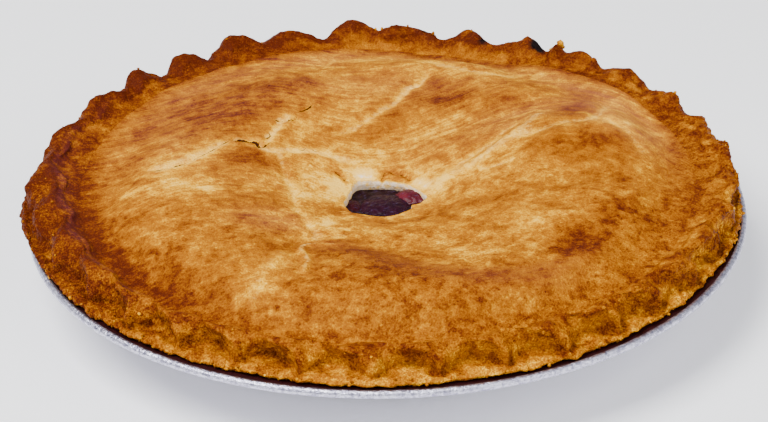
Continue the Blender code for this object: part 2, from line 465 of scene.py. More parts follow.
class Wiring:
    """A material's node tree, with a short call for each node it uses."""

    def __init__(self, name: str) -> None:
        """Start a material with one Principled shader."""
        self.material = bpy.data.materials.new(name)
        self.material.use_nodes = True
        self.tree = self.material.node_tree
        self.shader = self.tree.nodes["Principled BSDF"]
        self.place = self.node("ShaderNodeTexCoord").outputs["Object"]

    def node(self, kind: str) -> bpy.types.Node:
        """Add a node."""
        return self.tree.nodes.new(kind)

    def put(self, socket: Socket, value: object) -> None:
        """Link a socket to an output, or set its value."""
        if isinstance(value, Socket):
            self.tree.links.new(value, socket)
        elif value is not None:
            socket.default_value = value

    def field(self, name: str, output: str = "Fac") -> Socket:
        """Read a named value of the mesh's points, or with the output "Vector" a vector."""
        node = self.node("ShaderNodeAttribute")
        node.attribute_name = name
        return node.outputs[output]

    def stretched(self, scale: Triple) -> Socket:
        """Return the place in the piece, scaled along each axis."""
        node = self.node("ShaderNodeMapping")
        self.put(node.inputs["Vector"], self.place)
        self.put(node.inputs["Scale"], scale)
        return node.outputs["Vector"]

    def noise(self, cell: float, detail: float = 2.0, roughness: float = 0.5, warp: float = 0.0,
              place: Socket | None = None) -> Socket:
        """Return noise from 0 to 1 with cells of a width in millimetres."""
        node = self.node("ShaderNodeTexNoise")
        self.put(node.inputs["Vector"], place or self.place)
        self.put(node.inputs["Scale"], 1000.0 / cell)
        self.put(node.inputs["Detail"], detail)
        self.put(node.inputs["Roughness"], roughness)
        self.put(node.inputs["Distortion"], warp)
        return node.outputs["Fac"]

    def spots(self, cell: float, low: float, high: float) -> Socket:
        """Return spots of 1 in a field of 0, one in each cell of a width in millimetres."""
        node = self.node("ShaderNodeTexVoronoi")
        self.put(node.inputs["Vector"], self.place)
        self.put(node.inputs["Scale"], 1000.0 / cell)
        return self.span(node.outputs["Distance"], high, low)

    def math(self, operation: str, a: object, b: object = None, clamp: bool = False) -> Socket:
        """Combine two numbers, held from 0 to 1 if clamp is set."""
        node = self.node("ShaderNodeMath")
        node.operation = operation
        node.use_clamp = clamp
        self.put(node.inputs[0], a)
        self.put(node.inputs[1], b)
        return node.outputs[0]

    def span(self, value: Socket, low: float, high: float, to_low: float = 0.0,
             to_high: float = 1.0) -> Socket:
        """Stretch a value from one range to another, held at its ends."""
        node = self.node("ShaderNodeMapRange")
        for index, entry in enumerate((value, low, high, to_low, to_high)):
            self.put(node.inputs[index], entry)
        return node.outputs[0]

    def add(self, a: object, b: object, clamp: bool = False) -> Socket:
        """Return a + b."""
        return self.math("ADD", a, b, clamp)

    def times(self, a: object, b: object) -> Socket:
        """Return a * b."""
        return self.math("MULTIPLY", a, b)

    def about(self, base: object, noise: Socket, swing: object, clamp: bool = False) -> Socket:
        """Return base + swing * (noise - 0.5)."""
        return self.add(base, self.times(self.math("SUBTRACT", noise, 0.5), swing), clamp)

    def ramp(self, value: Socket, stops: Stops) -> Socket:
        """Turn a value into a colour by stops of display colours."""
        node = self.node("ShaderNodeValToRGB")
        elements = node.color_ramp.elements
        for index, (place, colour) in enumerate(stops):
            element = elements[index] if index < 2 else elements.new(place)
            element.position = place
            element.color = tint(*colour)
        self.put(node.inputs["Fac"], value)
        return node.outputs["Color"]

    def blend(self, share: object, a: object, b: object, mode: str = "MIX") -> Socket:
        """Mix two colours by a share."""
        node = self.node("ShaderNodeMix")
        node.data_type = "RGBA"
        node.blend_type = mode
        self.put(node.inputs[0], share)
        self.put(node.inputs[6], a)
        self.put(node.inputs[7], b)
        return node.outputs[2]

    def bump(self, height: Socket, depth: float, before: Socket | None = None) -> Socket:
        """Return normals bent by a height whose full range is a depth in millimetres."""
        node = self.node("ShaderNodeBump")
        self.put(node.inputs["Height"], height)
        self.put(node.inputs["Distance"], depth * MM)
        self.put(node.inputs["Normal"], before)
        return node.outputs["Normal"]

    def surface(self, **sockets: object) -> Material:
        """Set the shader's sockets by name, with _ for a space, and return the material."""
        for name, value in sockets.items():
            self.put(self.shader.inputs[name.replace("_", " ")], value)
        return self.material


@dataclass(frozen=True)
class PastryFinish:
    """Baked shortcrust: cream where it cracked or stayed cool, through gold to dark brown.

    The mesh's own fields say how far each place is baked, how creamy its cracks and
    creases are, how far it is burnt, how speckled, streaked and crumbly it is, and where
    a cool sheen is painted on. Noise drawn out along the field "grain" makes the streaks.
    """

    stops: Stops = (
        (0.0, (250, 198, 78)), (0.15, (231, 166, 18)), (0.3, (195, 128, 4)), (0.45, (168, 101, 2)),
        (0.6, (147, 82, 3)), (0.75, (122, 60, 2)), (0.87, (100, 41, 3)), (1.0, (76, 24, 4)))
    mottle: Pairs = ((0.6, 0.56), (1.3, 0.42), (2.8, 0.44))
    blots: tuple[Triple, ...] = ((4.2, 0.42, 0.19), (7.5, 0.46, 0.20))
    cream: Colour = (255, 204, 98)
    crumb: Colour = (248, 226, 196)
    painted_sheen: Colour = (24, 20, 48)
    char: Colour = (16, 7, 8)
    gap: Colour = (52, 20, 6)

    def material(self, name: str) -> Material:
        """Wire the finish.

        The fields and noise add up to one value of baking, with painted shade and highlight
        in places, which the stops turn into a colour. Cream, crumb, a painted sheen, char and
        the dark of open cracks go over it.
        """
        w = Wiring(name)
        speckle, crumbly, streaked = w.field("speckle"), w.field("crumbly"), w.field("streaked")
        streaks = w.noise(1.5, 3.0, 0.65, 0.5, place=w.field("grain", "Vector"))
        worn = w.times(w.span(w.noise(1.3, 3.0, 0.6), 0.3, 0.7, 0.6, 1.25),
                       w.span(streaks, 0.35, 0.65, 0.7, 1.2))
        cream = w.times(w.field("cream"), worn)
        dots = self.blotches(w)
        pores = w.times(w.spots(1.9, 0.12, 0.26), w.span(w.noise(5.0), 0.50, 0.58))
        crumbs = w.noise(0.55, 2.0, 0.6)
        # The baking field holds the browning and, in places, painted shade and highlight.
        bake_and_shading = w.add(w.field("bake_and_shading"), w.times(cream, -0.40))
        bake_and_shading = w.about(bake_and_shading, streaks, streaked)
        bake_and_shading = w.add(bake_and_shading, w.times(dots, speckle))
        bake_and_shading = w.add(bake_and_shading, w.times(pores, w.times(speckle, 0.22)), clamp=True)
        bake_and_shading = w.about(bake_and_shading, crumbs, crumbly, clamp=True)
        colour = w.ramp(bake_and_shading, self.stops)
        colour = w.blend(w.span(cream, 0.35, 0.95), colour, tint(*self.cream))
        colour = w.blend(w.span(cream, 1.0, 1.5), colour, tint(*self.crumb))
        # Painted sheen: a cool tint added where the field sheen says, along the streaks.
        painted_sheen = w.times(w.field("sheen"), w.span(streaks, 0.30, 0.66, 0.2, 1.0))
        colour = w.blend(painted_sheen, colour, tint(*self.painted_sheen), "ADD")
        darkened = w.about(w.field("char"), w.noise(1.2, 3.0), 0.7)
        colour = w.blend(w.span(darkened, 0.3, 0.8), colour, tint(*self.char))
        edge = w.math("ABSOLUTE", w.about(w.field("crack"), w.noise(1.1, 3.0, 0.7), 1.1))
        open_here = w.times(w.field("gape"), w.span(w.noise(2.6, 2.0), 0.38, 0.58))
        dark = w.span(w.math("SUBTRACT", open_here, edge), -0.10, 0.08)
        colour = w.blend(dark, colour, tint(*self.gap))
        rough = w.about(w.span(bake_and_shading, 0.2, 0.95, 0.56, 0.42), w.noise(1.5, 2.0), 0.16)
        normal = w.bump(w.noise(0.8, 3.0, 0.6), 0.16)
        reliefs = (dots, 0.45), (w.times(streaks, streaked), 0.30), (w.times(crumbs, crumbly), 0.4)
        for height, depth in reliefs:
            normal = w.bump(height, depth, before=normal)
        return w.surface(Base_Color=colour, Roughness=rough, Normal=normal, IOR=1.45,
                         Specular_IOR_Level=0.045)

    def blotches(self, w: Wiring) -> Socket:
        """Add up cloudy noise of three sizes, and blots of two sizes with firmer edges.

        Each is weighed by its height above or below its middle.
        """
        total = 0.0
        for cell, weight in self.mottle:
            total = w.about(total, w.noise(cell, 2.0, 0.6, 0.2), weight)
        for cell, middle, weight in self.blots:
            blot = w.span(w.noise(cell, 4.0, 0.6, 0.6), middle, middle + 0.14, -0.5, 0.5)
            total = w.add(w.times(blot, weight), total)
        return total


@dataclass(frozen=True)
class CherryFinish:
    """Glossy cooked fruit: dark juice over a red that shows where the skin thins."""

    dark: Colour = (20, 3, 15)
    red: Colour = (56, 10, 30)
    glint: Colour = (112, 96, 146)
    redness: float = 0.3
    wrinkle: float = 1.2
    gloss: float = 0.04

    def material(self, name: str) -> Material:
        """Wire the finish."""
        w = Wiring(name)
        share = w.about(self.redness, w.noise(3.4, 3.0, 0.55, 0.5), 1.2, clamp=True)
        colour = w.blend(share, tint(*self.dark), tint(*self.red))
        # Painted reflection: pale violet glints in the fine noise, over the dark fruit and juice.
        fine = w.noise(0.7, 3.0, 0.6, place=w.stretched((0.5, 1.0, 1.0)))
        colour = w.blend(w.span(fine, 0.58, 0.72, 0.0, 0.34), colour, tint(*self.glint))
        normal = w.bump(w.noise(self.wrinkle, 4.0, 0.65, 0.8), 0.35)
        return w.surface(Base_Color=colour, Roughness=0.28, Normal=normal, IOR=1.4, Specular_IOR_Level=0.09,
                         Coat_Weight=self.gloss, Coat_Roughness=0.12)


@dataclass(frozen=True)
class FoilFinish:
    """Pressed foil: pale and slightly violet, crinkled, and painted dark inside the bead, as shade."""

    colour: Colour = (214, 212, 228)
    dull: Colour = (150, 147, 170)
    # the colour of the shade painted inside the bead, under the crust's edge
    darkened: Colour = (48, 15, 17)
    roughness: float = 0.34

    def material(self, name: str) -> Material:
        """Wire the finish: a field of the mesh says where shade is painted inside the bead."""
        w = Wiring(name)
        crinkle = w.noise(1.2, 3.0, 0.65, 0.4)
        colour = w.blend(w.span(crinkle, 0.38, 0.58), tint(*self.dull), tint(*self.colour))
        # Painted shade inside the bead: dark, and not metallic there.
        painted_shade = w.about(w.field("painted_shade"), w.noise(1.4, 3.0, 0.6), 1.0)
        colour = w.blend(w.span(painted_shade, 0.42, 0.62), colour, tint(*self.darkened))
        rough = w.about(self.roughness, w.noise(0.8, 3.0, 0.6), 0.24)
        normal = w.bump(w.noise(2.6, 2.0, 0.55), 0.12)
        normal = w.bump(crinkle, 0.42, before=normal)
        bare = w.span(painted_shade, 0.42, 0.62, 1.0, 0.0)
        return w.surface(Base_Color=colour, Metallic=bare, Roughness=rough, Normal=normal)


@dataclass(frozen=True)
class FloorFinish:
    """A plain pale studio floor with a breath of unevenness."""

    colour: Colour = (250, 250, 251)
    shade: Colour = (242, 242, 244)

    def material(self, name: str) -> Material:
        """Wire the finish."""
        w = Wiring(name)
        share = w.span(w.noise(300.0), 0.3, 0.7, 0.0, 0.1)
        colour = w.blend(share, tint(*self.colour), tint(*self.shade))
        return w.surface(Base_Color=colour, Roughness=0.9, Emission_Color=(1.0, 1.0, 1.0, 1.0),
                         Emission_Strength=0.25)


# ---- The pastry's form ----

class Section(Enum):
    """The stations of the rim's section, from the valley inside it round to the flange."""

    VALLEY = 0
    RISE = 1
    FLANK = 2
    BROW = 3
    CREST = 4
    SHOULDER = 5
    LOBE = 6
    FOOT = 7
    LEDGE = 8
    LIP_TOP = 9
    LIP_NOSE = 10
    LIP_UNDER = 11
    UNDERSIDE = 12
    FLANGE = 13


@dataclass(frozen=True)
class TinForm:
    """The tin's sizes, read from the frame where the frame has them."""

    bead_radius: float = 1.25
    foil: float = 0.3
    gap: float = 0.3
    heel: float = 3.0
    heel_height: float = 1.4
    base_radius: float = 79.5
    wall_top: float = 106.0

    @property
    def outer(self) -> float:
        """The radius over the bead."""
        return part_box("pie_tin")[1][0] / MM

    @property
    def top(self) -> float:
        """The height of the bead's top."""
        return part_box("pie_tin")[1][2] / MM

    @property
    def bead_centre(self) -> tuple[float, float]:
        """The radius and height of the bead's middle."""
        return self.outer - self.bead_radius, self.top - self.bead_radius

    @property
    def flange(self) -> float:
        """The height of the flange's upper face, a little under the bead's top."""
        return self.top - 0.45

    def wall(self, height: Array, inset: float) -> Array:
        """Return the radius at a height of a surface that lies inset from the outside of the wall."""
        slope = (self.wall_top - self.base_radius) / self.flange
        return self.base_radius + slope * height - inset * math.hypot(1.0, slope)


@dataclass(frozen=True)
class LidFolds:
    """The lid's own creases, cracks, fold and browned patches, all in plan."""

    creases: tuple[Crease, ...] = (
        Crease(((-78, 2), (-68, 5), (-61, 11), (-55.5, 18), (-50.5, 23.8)), 1.0, 0.5, 3.4, 0.62, 0.45),
        Crease(((-51, 24), (-47.5, 25), (-44, 25.1), (-41.8, 24.3), (-40.8, 22.4),
               (-37.6, 24.6)), 1.2, 1.0, 2.0, 0.5, 1.7),
        Crease(((-38.2, 24.5), (-37.8, 28), (-36, 33), (-34, 38), (-30.5, 42)), 1.3, 0.5, 2.0, 0.66, 0.0),
        Crease(((-39, 27.5), (-37.6, 29.5), (-38.6, 31)), 0.7, 0.3, 1.0, 0.3, 0.6),
        Crease(((-36.4, 37.9), (-33, 38.7), (-29.6, 38.9), (-29.1, 41.2)), 0.8, 0.6, 1.2, 0.3, 0.75),
        Crease(((-29.3, 43.8), (-26.6, 44.2), (-24.2, 47.4)), 0.7, 0.4, 1.2, 0.3, 0.7),
        Crease(((-43, 22), (-38.5, 19.8), (-35.5, 19.5), (-30, 21.2), (-22, 21.8), (-15, 20.5),
               (-8, 17.5)), 1.3, 0.3, 2.4, 0.62),
        Crease(((-28.5, 22.6), (-27, 22.2), (-26.2, 23.0)), 0.6, 0.2, 0.8, 0.2, 0.45),
        Crease(((-24, 22.8), (-22.6, 22.4), (-22, 23.4)), 0.6, 0.2, 0.8, 0.2, 0.45),
        Crease(((-37, 20), (-34.6, 17), (-33.3, 12), (-31.8, 5), (-30.2, -2), (-29.2, -10),
               (-28.2, -18), (-25, -27), (-22.4, -34), (-21.5, -40)), 1.4, 0.5, 1.6, 0.44),
        Crease(((-22, 30), (-14, 34), (-8, 39), (-3, 44), (2, 49.5), (5, 54), (8.5, 59.5), (12, 63),
               (14, 69), (13, 77)), 1.6, 0.5, 1.7, 0.55),
        Crease(((6, 55), (8, 60), (12, 62)), 1.4, 0.2, 2.2, 0.4),
        Crease(((13, 80), (18, 76.5), (24, 73), (31, 70), (40, 69), (48, 71)), 2.0, 0.3, 2.6, 0.5),
        Crease(((14, 1), (18, 6), (24, 9.5), (30, 13), (36, 18), (42, 22), (47, 27.5), (50, 33),
               (52, 39)), 3.2, -0.7, 3.0, 0.6),
        Crease(((20, 11), (26, 15.5), (32, 20), (38, 26), (43, 31)), 2.2, 0.5, 1.6, 0.45),
        Crease(((40, 19.5), (46, 21), (52, 23), (58, 25), (66, 27.5), (70, 33), (73, 42),
               (76, 50)), 2.4, 0.7, 2.5, 0.5),
        Crease(((68, 28), (74, 25), (78, 19.5), (81, 12), (82, 5)), 2.2, 0.6, 2.2, 0.42),
        Crease(((29, 8), (33, 7), (37, 7.4), (42, 8)), 1.4, 0.3, 1.6, 0.5),
        Crease(((-17, 13.4), (-15.4, 12), (-14.2, 10.6), (-13, 9.2)), 0.6, 0.3, 0.9, -0.8, 0.5),
        Crease(((-1.4, 10.8), (-1.3, 13.6), (-0.6, 15.6), (0.8, 16.2)), 0.7, 0.5, 0.9, -0.7, 0.12),
        Crease(((0.4, 16.2), (2.5, 14.9), (4.3, 14.7), (6.3, 12.8),
               (8.2, 10.6)), 0.8, 0.9, 1.0, -0.8, 0.16),
        Crease(((-10, 11.5), (-7, 13), (-4, 13.5)), 3.0, 0.0, 3.0, 1.35),
        Crease(((8.6, 10.6), (11, 8.2), (14, 5)), 1.2, 0.0, 2.2, 1.1),
        Crease(((-30, -50.5), (-33, -55), (-35.8, -61), (-38, -67), (-39.8, -73),
               (-39, -80)), 2.6, -0.5, 3.2, 0.42),
        Crease(((-11, -42.6), (-21, -42.4), (-25, -43.6), (-26.6, -47), (-25.2, -52), (-24, -58),
               (-25, -64), (-22.5, -70)), 1.1, -0.7, 1.2, 0.55),
        Crease(((-22, -29), (-18, -25), (-14.5, -21), (-12, -18.5)), 2.2, 0.2, 3.0, 0.5),
        Crease(((-24, -34), (-18, -35.5), (-12, -34.5)), 2.0, 0.2, 3.2, 0.4),
        Crease(((-8, -30), (-4, -33), (-1, -36)), 1.4, 0.2, 1.5, 0.4),
        Crease(((48, -30), (54, -30.4), (60, -32)), 1.4, -0.3, 1.8, 0.4),
        Crease(((44, -36), (47, -34.5)), 1.2, -0.2, 1.6, 0.3),
    )
    # Patches where a cool sheen is painted on the lid.
    sheen: Patches = ovals(
        (-56, 4, 30, 24, 0, 0.12), (-10, 60, 80, 26, 0, 0.16), (-6, 2, 28, 20, 0, 0.16),
        (50, 40, 30, 9, 25, 0.6), (-58, 44, 24, 13, 20, 0.25), (-36, -28, 12, 7, 0, 0.6),
        (-70, 20, 14, 18, 0, 0.3), (0, 62, 34, 10, 0, 0.3), (74, 34, 10, 18, 25, 0.7),
        (84, 24, 7, 12, 20, 0.4))
    golden: Patches = ovals(
        (3.4, 13.2, 4.6, 2.4, -18, 0.9), (-2, -20, 22, 5, 0, 0.25), (-17, -13, 8, 6, 0, 0.3),
        (15, -13, 5, 6, 0, 0.25))
    clear: Patches = ovals(
        (40, -24, 26, 20, 0, 0.22), (58, 6, 22, 14, 0, 0.16), (74, 36, 12, 22, 30, 0.35))
    dotted: Patches = ovals(
        (46, -10, 36, 26, 20, 1), (-30, -78, 30, 16, 0, 0.5), (-62, -42, 24, 18, 0, 0.8))
    fold: Line = Line((
        (-27.5, -47), (-25.9, -43.9), (-23.3, -39.8), (-17.8, -38.4), (-12.2, -39.1), (-6.7, -42),
        (-1.3, -45.9), (4.1, -51.2), (9.5, -56.6), (15.4, -60.8), (21.3, -63.4), (27.2, -64.6),
        (33.1, -64.7), (39.1, -63.8), (45.2, -61.4), (50.3, -57.6), (55.4, -52), (61.4, -45), (66.8, -37)))
    fold_rise: float = 0.8
    fold_dip: float = 1.0
    brown: Patches = ovals(
        (-52, 40, 19, 10, 0, 0.24), (-37, 46, 5, 5, 0, 0.1), (-44, 14, 11, 7, -15, 0.24),
        (-50, 0, 16, 5, -10, 0.08), (-37, 60, 9, 5, 0, 0.2), (19, 52, 12, 6.5, 8, 0.25),
        (3, 41, 6, 5, 60, 0.17), (63, 13, 16, 11, 0, 0.22), (45, -12, 7, 5.5, 0, 0.14),
        (75, -9, 3.4, 5, 0, 0.24), (29, -34, 7, 6, 0, 0.14), (53, -35.5, 3, 2.2, 0, 0.2),
        (60, -47, 15, 7, 35, 0.24), (73, -30, 8, 7, 40, 0.2), (88, -18, 8, 10, 0, 0.16),
        (-10, -38.6, 9, 1.9, 0, 0.24), (8, -49.5, 12, 2.2, -38, 0.14), (48, -19, 8, 5, 0, -0.22),
        (-20, 8, 9, 8, 0, -0.12), (-27, -5, 8, 9, 0, -0.14), (-12, -50, 12, 7, 0, 0.14),
        (2, -58, 10, 7, -50, 0.16), (22, -71, 20, 4.5, -8, 0.08), (0, -72, 24, 9, 0, 0.16),
        (22, -85, 20, 7, 0, 0.14), (-63, -62, 13, 8, -45, 0.26), (-84, -30, 7, 9, 0, 0.2),
        (-48, -5, 3.4, 5, 0, 0.16), (-47, -14, 3, 3, 0, 0.14), (-40, -46, 12, 7, 0, 0.1),
        (-77, -5, 3.4, 3.4, 0, 0.18), (59, 32, 7, 5, 30, 0.16), (65, 43, 5, 5, 0, 0.14),
        (68, 54, 8, 6, 60, 0.1), (-41, -30, 8, 6, 0, 0.1), (60, 5, 16, 8, 0, 0.1),
        (30, -15, 6, 6, 0, 0.1), (37, 44, 12, 3, 15, 0.12), (-33, -80.5, 0.9, 0.9, 0, 0.5),
        (-7, -92, 1.5, 0.8, 0, 0.5), (66, -63, 1, 0.8, 0, 0.5), (91, -18.5, 0.9, 0.7, 0, 0.4),
        (70, 13, 5, 4, 0, 0.14), (79, 9, 3, 4, 0, 0.12), (0, 0, 36, 30, 0, -0.18),
        (-18, 4, 12, 22, 0, -0.12), (18, 36, 16, 8, 20, -0.14), (-25, 37, 8, 12, -30, -0.1),
        (-66, 10, 13, 7, 35, -0.2), (-66, -10, 16, 7, 8, -0.24), (24, -50, 14, 11, 0, -0.1),
        (-36, -66, 5, 14, -20, -0.14), (70, 28, 6, 6, 0, -0.16), (-12, 60, 12, 22, 10, -0.08),
        (32, 68, 22, 6, -8, -0.1), (-20, -30, 12, 9, 0, -0.12), (-59, -5.7, 17, 9, 0, -0.13),
        (-77.7, -1.4, 7, 6, 0, -0.12), (-28, 38, 14, 9, 0, -0.12), (11, 16.7, 12, 10, 0, -0.08),
        (62, 38, 6, 5, 20, 0.1), (-46, 16, 9, 5, -10, 0.08), (64, 2, 13, 14, 0, -0.14),
        (66, -40, 13, 7, 25, 0.13), (57.7, -55.4, 11, 7, 10, 0.16), (69, -69.8, 4, 4, 0, -0.1),
        (-17.2, -14, 7, 6, 0, 0.1), (15, -15, 6, 6, 0, 0.1), (82.4, -33.2, 8, 10, 0, 0.08),
        (-16, -84.4, 7, 7, 0, 0.2), (-15.8, -70.3, 7, 7, 0, 0.12), (-4.1, -65.9, 11, 5, 0, 0.11),
        (35.3, -51.1, 12, 8, 0, -0.08), (-44.7, -70.1, 7, 8, 0, 0.09), (44.7, -5.8, 7, 6, 0, 0.1),
        (-84.9, -35.1, 6, 12, 0, -0.13), (-58, 50, 26, 15, 30, 0.13), (38, -34, 20, 9, -8, -0.14),
        (46, -8, 14, 7, 0, -0.08), (-82, 8, 11, 36, 0, 0.06), (80, 20, 6, 12, 10, -0.1),
        (-52, 33, 20, 4, 10, 0.06), (40, 12, 16, 5, 30, -0.1))

    def relief(self, x: Array, y: Array) -> Fields:
        """Work out the lid's relief and the fields that come from it.

        Args:
            x, y: points in plan.

        Returns:
            The change of height, the fields cream, crack and gape, and how far each
            place lies in the band in front of the fold, where shade and sheen are painted.
        """
        flat = np.stack([x, y, 0.0 * x], -1)
        wander_x = x + 0.45 * NOISE.at(flat, 6.0) + 0.35 * NOISE.at(flat + 5.0, 2.2)
        wander_y = y + 0.45 * NOISE.at(flat + 60.0, 6.0) + 0.35 * NOISE.at(flat + 45.0, 2.2)
        height, cream = np.zeros(x.shape), np.zeros(x.shape)
        crack, gape = np.full(x.shape, FAR), np.zeros(x.shape)
        for crease in self.creases:
            rise, pale, away, half = crease.relief(wander_x, wander_y)
            height += rise
            cream = 1.0 - (1.0 - cream) * (1.0 - pale)
            if crease.gape:
                nearer = np.abs(away) < np.abs(crack)
                crack = np.where(nearer, away, crack)
                gape = np.where(nearer, half, gape)
        away, along, side = self.fold.near(x, y, 60.0)
        strength = smooth((along + 0.03) / 0.16) * smooth((1.0 - along) / 0.25)
        front = np.where(side < 0.0, smooth(away / 15.0) * bump(np.maximum(away - 15.0, 0.0), 16.0), 0.0)
        height += strength * (self.fold_rise * front - self.fold_dip * bump(away, 11.0))
        # The band in front of the fold, which the colours paint darker as shade and give a painted sheen.
        band = strength * np.where(side < 0.0, bump(away - 6.0, 6.6), np.exp(-0.83 - away))
        return {"height": height, "cream": cream, "crack": crack, "gape": gape, "band": band}


@dataclass(frozen=True)
class PastryForm:
    """The pastry's outer form: the lid's height over plan and the rim's section at each angle."""

    tin: TinForm = TinForm()
    crests: tuple[float, ...] = (
        26.5, 39.0, 50.5, 62.0, 73.5, 85.0, 96.0, 108.5, 119.0, 130.0, 141.0, 152.0, 164.5, 176.0, 187.5,
        199.0, 210.5, 221.5, 231.5, 241.5, 252.0, 263.0, 273.5, 284.0, 294.0, 304.0, 313.5, 323.5, 334.0,
        344.0, 354.0, 364.5, 375.5)
    heights: Pairs = (
        (8, 14.2), (15, 14.3), (20, 14.0), (25, 14.4), (27, 16.1), (29, 15.2), (31, 14.1), (33.5, 13.4),
        (35, 13.5), (37, 15), (39, 16.1), (41, 15.5), (43, 14), (45, 13.3), (47, 14.5), (49, 15.2),
        (51, 16), (53, 14.9), (55.5, 14.6), (58, 14.1), (60, 15.5), (62, 16.6), (64, 14.7), (66, 13.8),
        (68, 12.9), (70, 13.8), (72, 15.2), (74, 15.8), (76, 14), (78, 13.2), (80.5, 14.6), (82, 15.7),
        (85, 16.2), (87.5, 17), (91, 16.7), (92.5, 17.4), (94, 18.9), (96, 19.4), (98, 18), (99.5, 16.4),
        (101.5, 14.1), (103, 15), (106, 17.1), (108.5, 18), (111, 16.2), (113, 15.2), (115, 16.7),
        (117, 18.7), (119, 19.4), (121, 18.5), (122.5, 15.9), (124.5, 14.4), (126, 15), (128, 17.5),
        (130, 18.3), (132, 16.9), (133.7, 14.2), (136, 14.4), (138, 16.5), (140, 18.3), (142, 18.6),
        (144, 15.7), (146, 16.0), (148, 17.2), (150, 18.0), (153, 18.4), (155, 17.0), (157, 15.8),
        (160, 16.4), (164, 17.0), (168, 16.0), (171, 15.6), (175.5, 15.8), (181, 14.4), (187.5, 14.6),
        (193, 13.4), (199, 14.4), (204.5, 13.2), (210.5, 14.6), (216, 12.8), (221.5, 14.2), (226.5, 12.6),
        (231.5, 13.8), (236.5, 12.4), (241.5, 13.4), (246.5, 12.2), (252, 13), (257.5, 12), (263, 12.8),
        (268.5, 12), (273.5, 13), (279, 12.2), (284, 13.4), (289, 12.4), (294, 13.6), (299, 12.6),
        (304, 13.6), (309, 12.6), (313.5, 13.6), (318.5, 12.8), (323.5, 13.8), (329, 13), (334, 14),
        (339, 13.2), (344, 14.2), (349, 13.4), (354, 14.4), (359, 13.8), (364.5, 14.6), (368, 14.6))
    valley_heights: Pairs = (
        (0, 11.2), (12, 11.8), (26, 12.2), (36, 13.2), (46, 12.4), (56, 11.4), (68, 9.2), (78, 9.8),
        (90, 11.2), (100, 12.6), (115, 13.6), (140, 13.6), (158, 12.6), (175, 10.8), (195, 9.0),
        (220, 7.4), (270, 6.8), (315, 7.4), (335, 9.0), (348, 10.4), (360, 11.2))
    level: float = 21.5
    wave: float = 1.9
    twist: Pairs = (
        (0, -0.3), (2, -0.16), (4, 0), (6, 0.26), (7.5, 0.44), (9, 0.5))
    crest_radius: float = 104.1
    joint_radius: float = 97.5
    lip_radius: float = 111.5
    lip_thickness: float = 1.5
    nubs: Bells = (
        Bell(88.6, 1.4, 1.0), Bell(47, 0.6, 1.2), Bell(55.6, 0.8, 2.6), Bell(80.2, 0.7, 0.9),
        Bell(149, 0.7, 0.6), Bell(145, 0.9, 0.6))
    full: Bells = (Bell(6, 34, 1.0), Bell(178, 26, 0.7))
    leans: Bells = (
        Bell(20, 44, 2.0), Bell(135, 30, 2.4), Bell(170, 13, 4.4), Bell(357, 14, 2.6))
    calm: Bells = (Bell(6, 22, 0.65), Bell(44, 20, 0.45), Bell(178, 26, 0.55))
    lip_reach: Bells = (
        Bell(180, 24, 4.9), Bell(10, 30, 1.9), Bell(90, 50, 1.6), Bell(270, 22, 0.5))
    lip_lift: Bells = (Bell(180, 24, 1.2), Bell(10, 30, 0.5), Bell(90, 50, 0.5))
    whole_lip: Bell = Bell(176, 32, 0.6)
    groove: float = 3.8
    front_groove: Bell = Bell(262, 40, 2.6)
    narrow_edge: Bell = Bell(14, 30, 1.0)
    lid_section: Pairs = (
        (9.0, 26.0), (12.5, 26.5), (20.0, 28.5), (30.0, 31.1), (42.0, 33.7), (56.0, 35.7), (70.0, 36.5),
        (82.0, 35.3), (90.0, 32.7), (98.0, 29.6))
    humps: Patches = ovals(
        (57, 20, 24, 16, 20, 3.4), (80, 24, 9, 20, 20, 1.6), (22, -76, 40, 13, 0, 1.8),
        (-36, 58, 32, 16, 0, 1.6), (20, 82, 34, 10, 0, 1.6), (34, 40, 24, 8, 15, -2.2),
        (26, -46, 36, 12, 0, -1.8), (-26, -46, 9, 18, 0, -1))
    vent: Pairs = (
        (14.6, 12.0), (36.7, 11.3), (67.6, 11.3), (97.5, 11.5), (122.0, 13.6), (133.0, 14.4),
        (157.0, 12.6), (179.0, 12.8), (196.0, 14.6), (210.0, 15.2), (230.0, 17.4), (248.7, 15.2),
        (266.9, 14.6), (280.2, 13.5), (296.6, 11.8), (309.0, 11.9), (322.9, 9.9), (330.3, 11.6),
        (347.6, 12.4), (354.1, 13.1))

    def phase(self, degrees: Array, place: Array | float = 4.0) -> Array:
        """Return the place round the rim counted in flutes, whole at each lobe's middle.

        The flutes lie aslant like the strands of a rope, so the count falls by the twist
        from the inside of the rim to its foot.

        Args:
            degrees: the angles.
            place: the places along the section.

        Returns:
            The count for each angle and place.
        """
        first = self.crests[0]
        angles = np.array(self.crests + (first + 360.0,))
        count = np.interp((degrees - first) % 360.0 + first, angles, np.arange(len(angles)))
        return count - np.interp(place, *np.array(self.twist).T)

    def swell(self, phase: Array) -> Array:
        """Return (1/2 + 1/2 cos)^0.8 of the phase: 1 at a lobe's middle, 0 in the groove after it."""
        return (0.5 + 0.5 * np.cos(2.0 * np.pi * phase)) ** 0.8

    def trait(self, phase: Array, seed: int) -> Array:
        """Return a trait that each lobe has from -1 to 1, run smoothly from lobe to lobe."""
        count = len(self.crests)
        values = np.random.default_rng(seed).uniform(-1.0, 1.0, count)
        below = np.floor(phase).astype(int)
        return mix(values[below % count], values[(below + 1) % count], smooth(phase - below))

    def crest_line(self, degrees: Array) -> Array:
        """Return the crest's height: a smooth curve through each lobe's top and each dip."""
        return self.level + through((degrees - 8.0) % 360.0 + 8.0, self.heights) + bells(degrees, self.nubs)

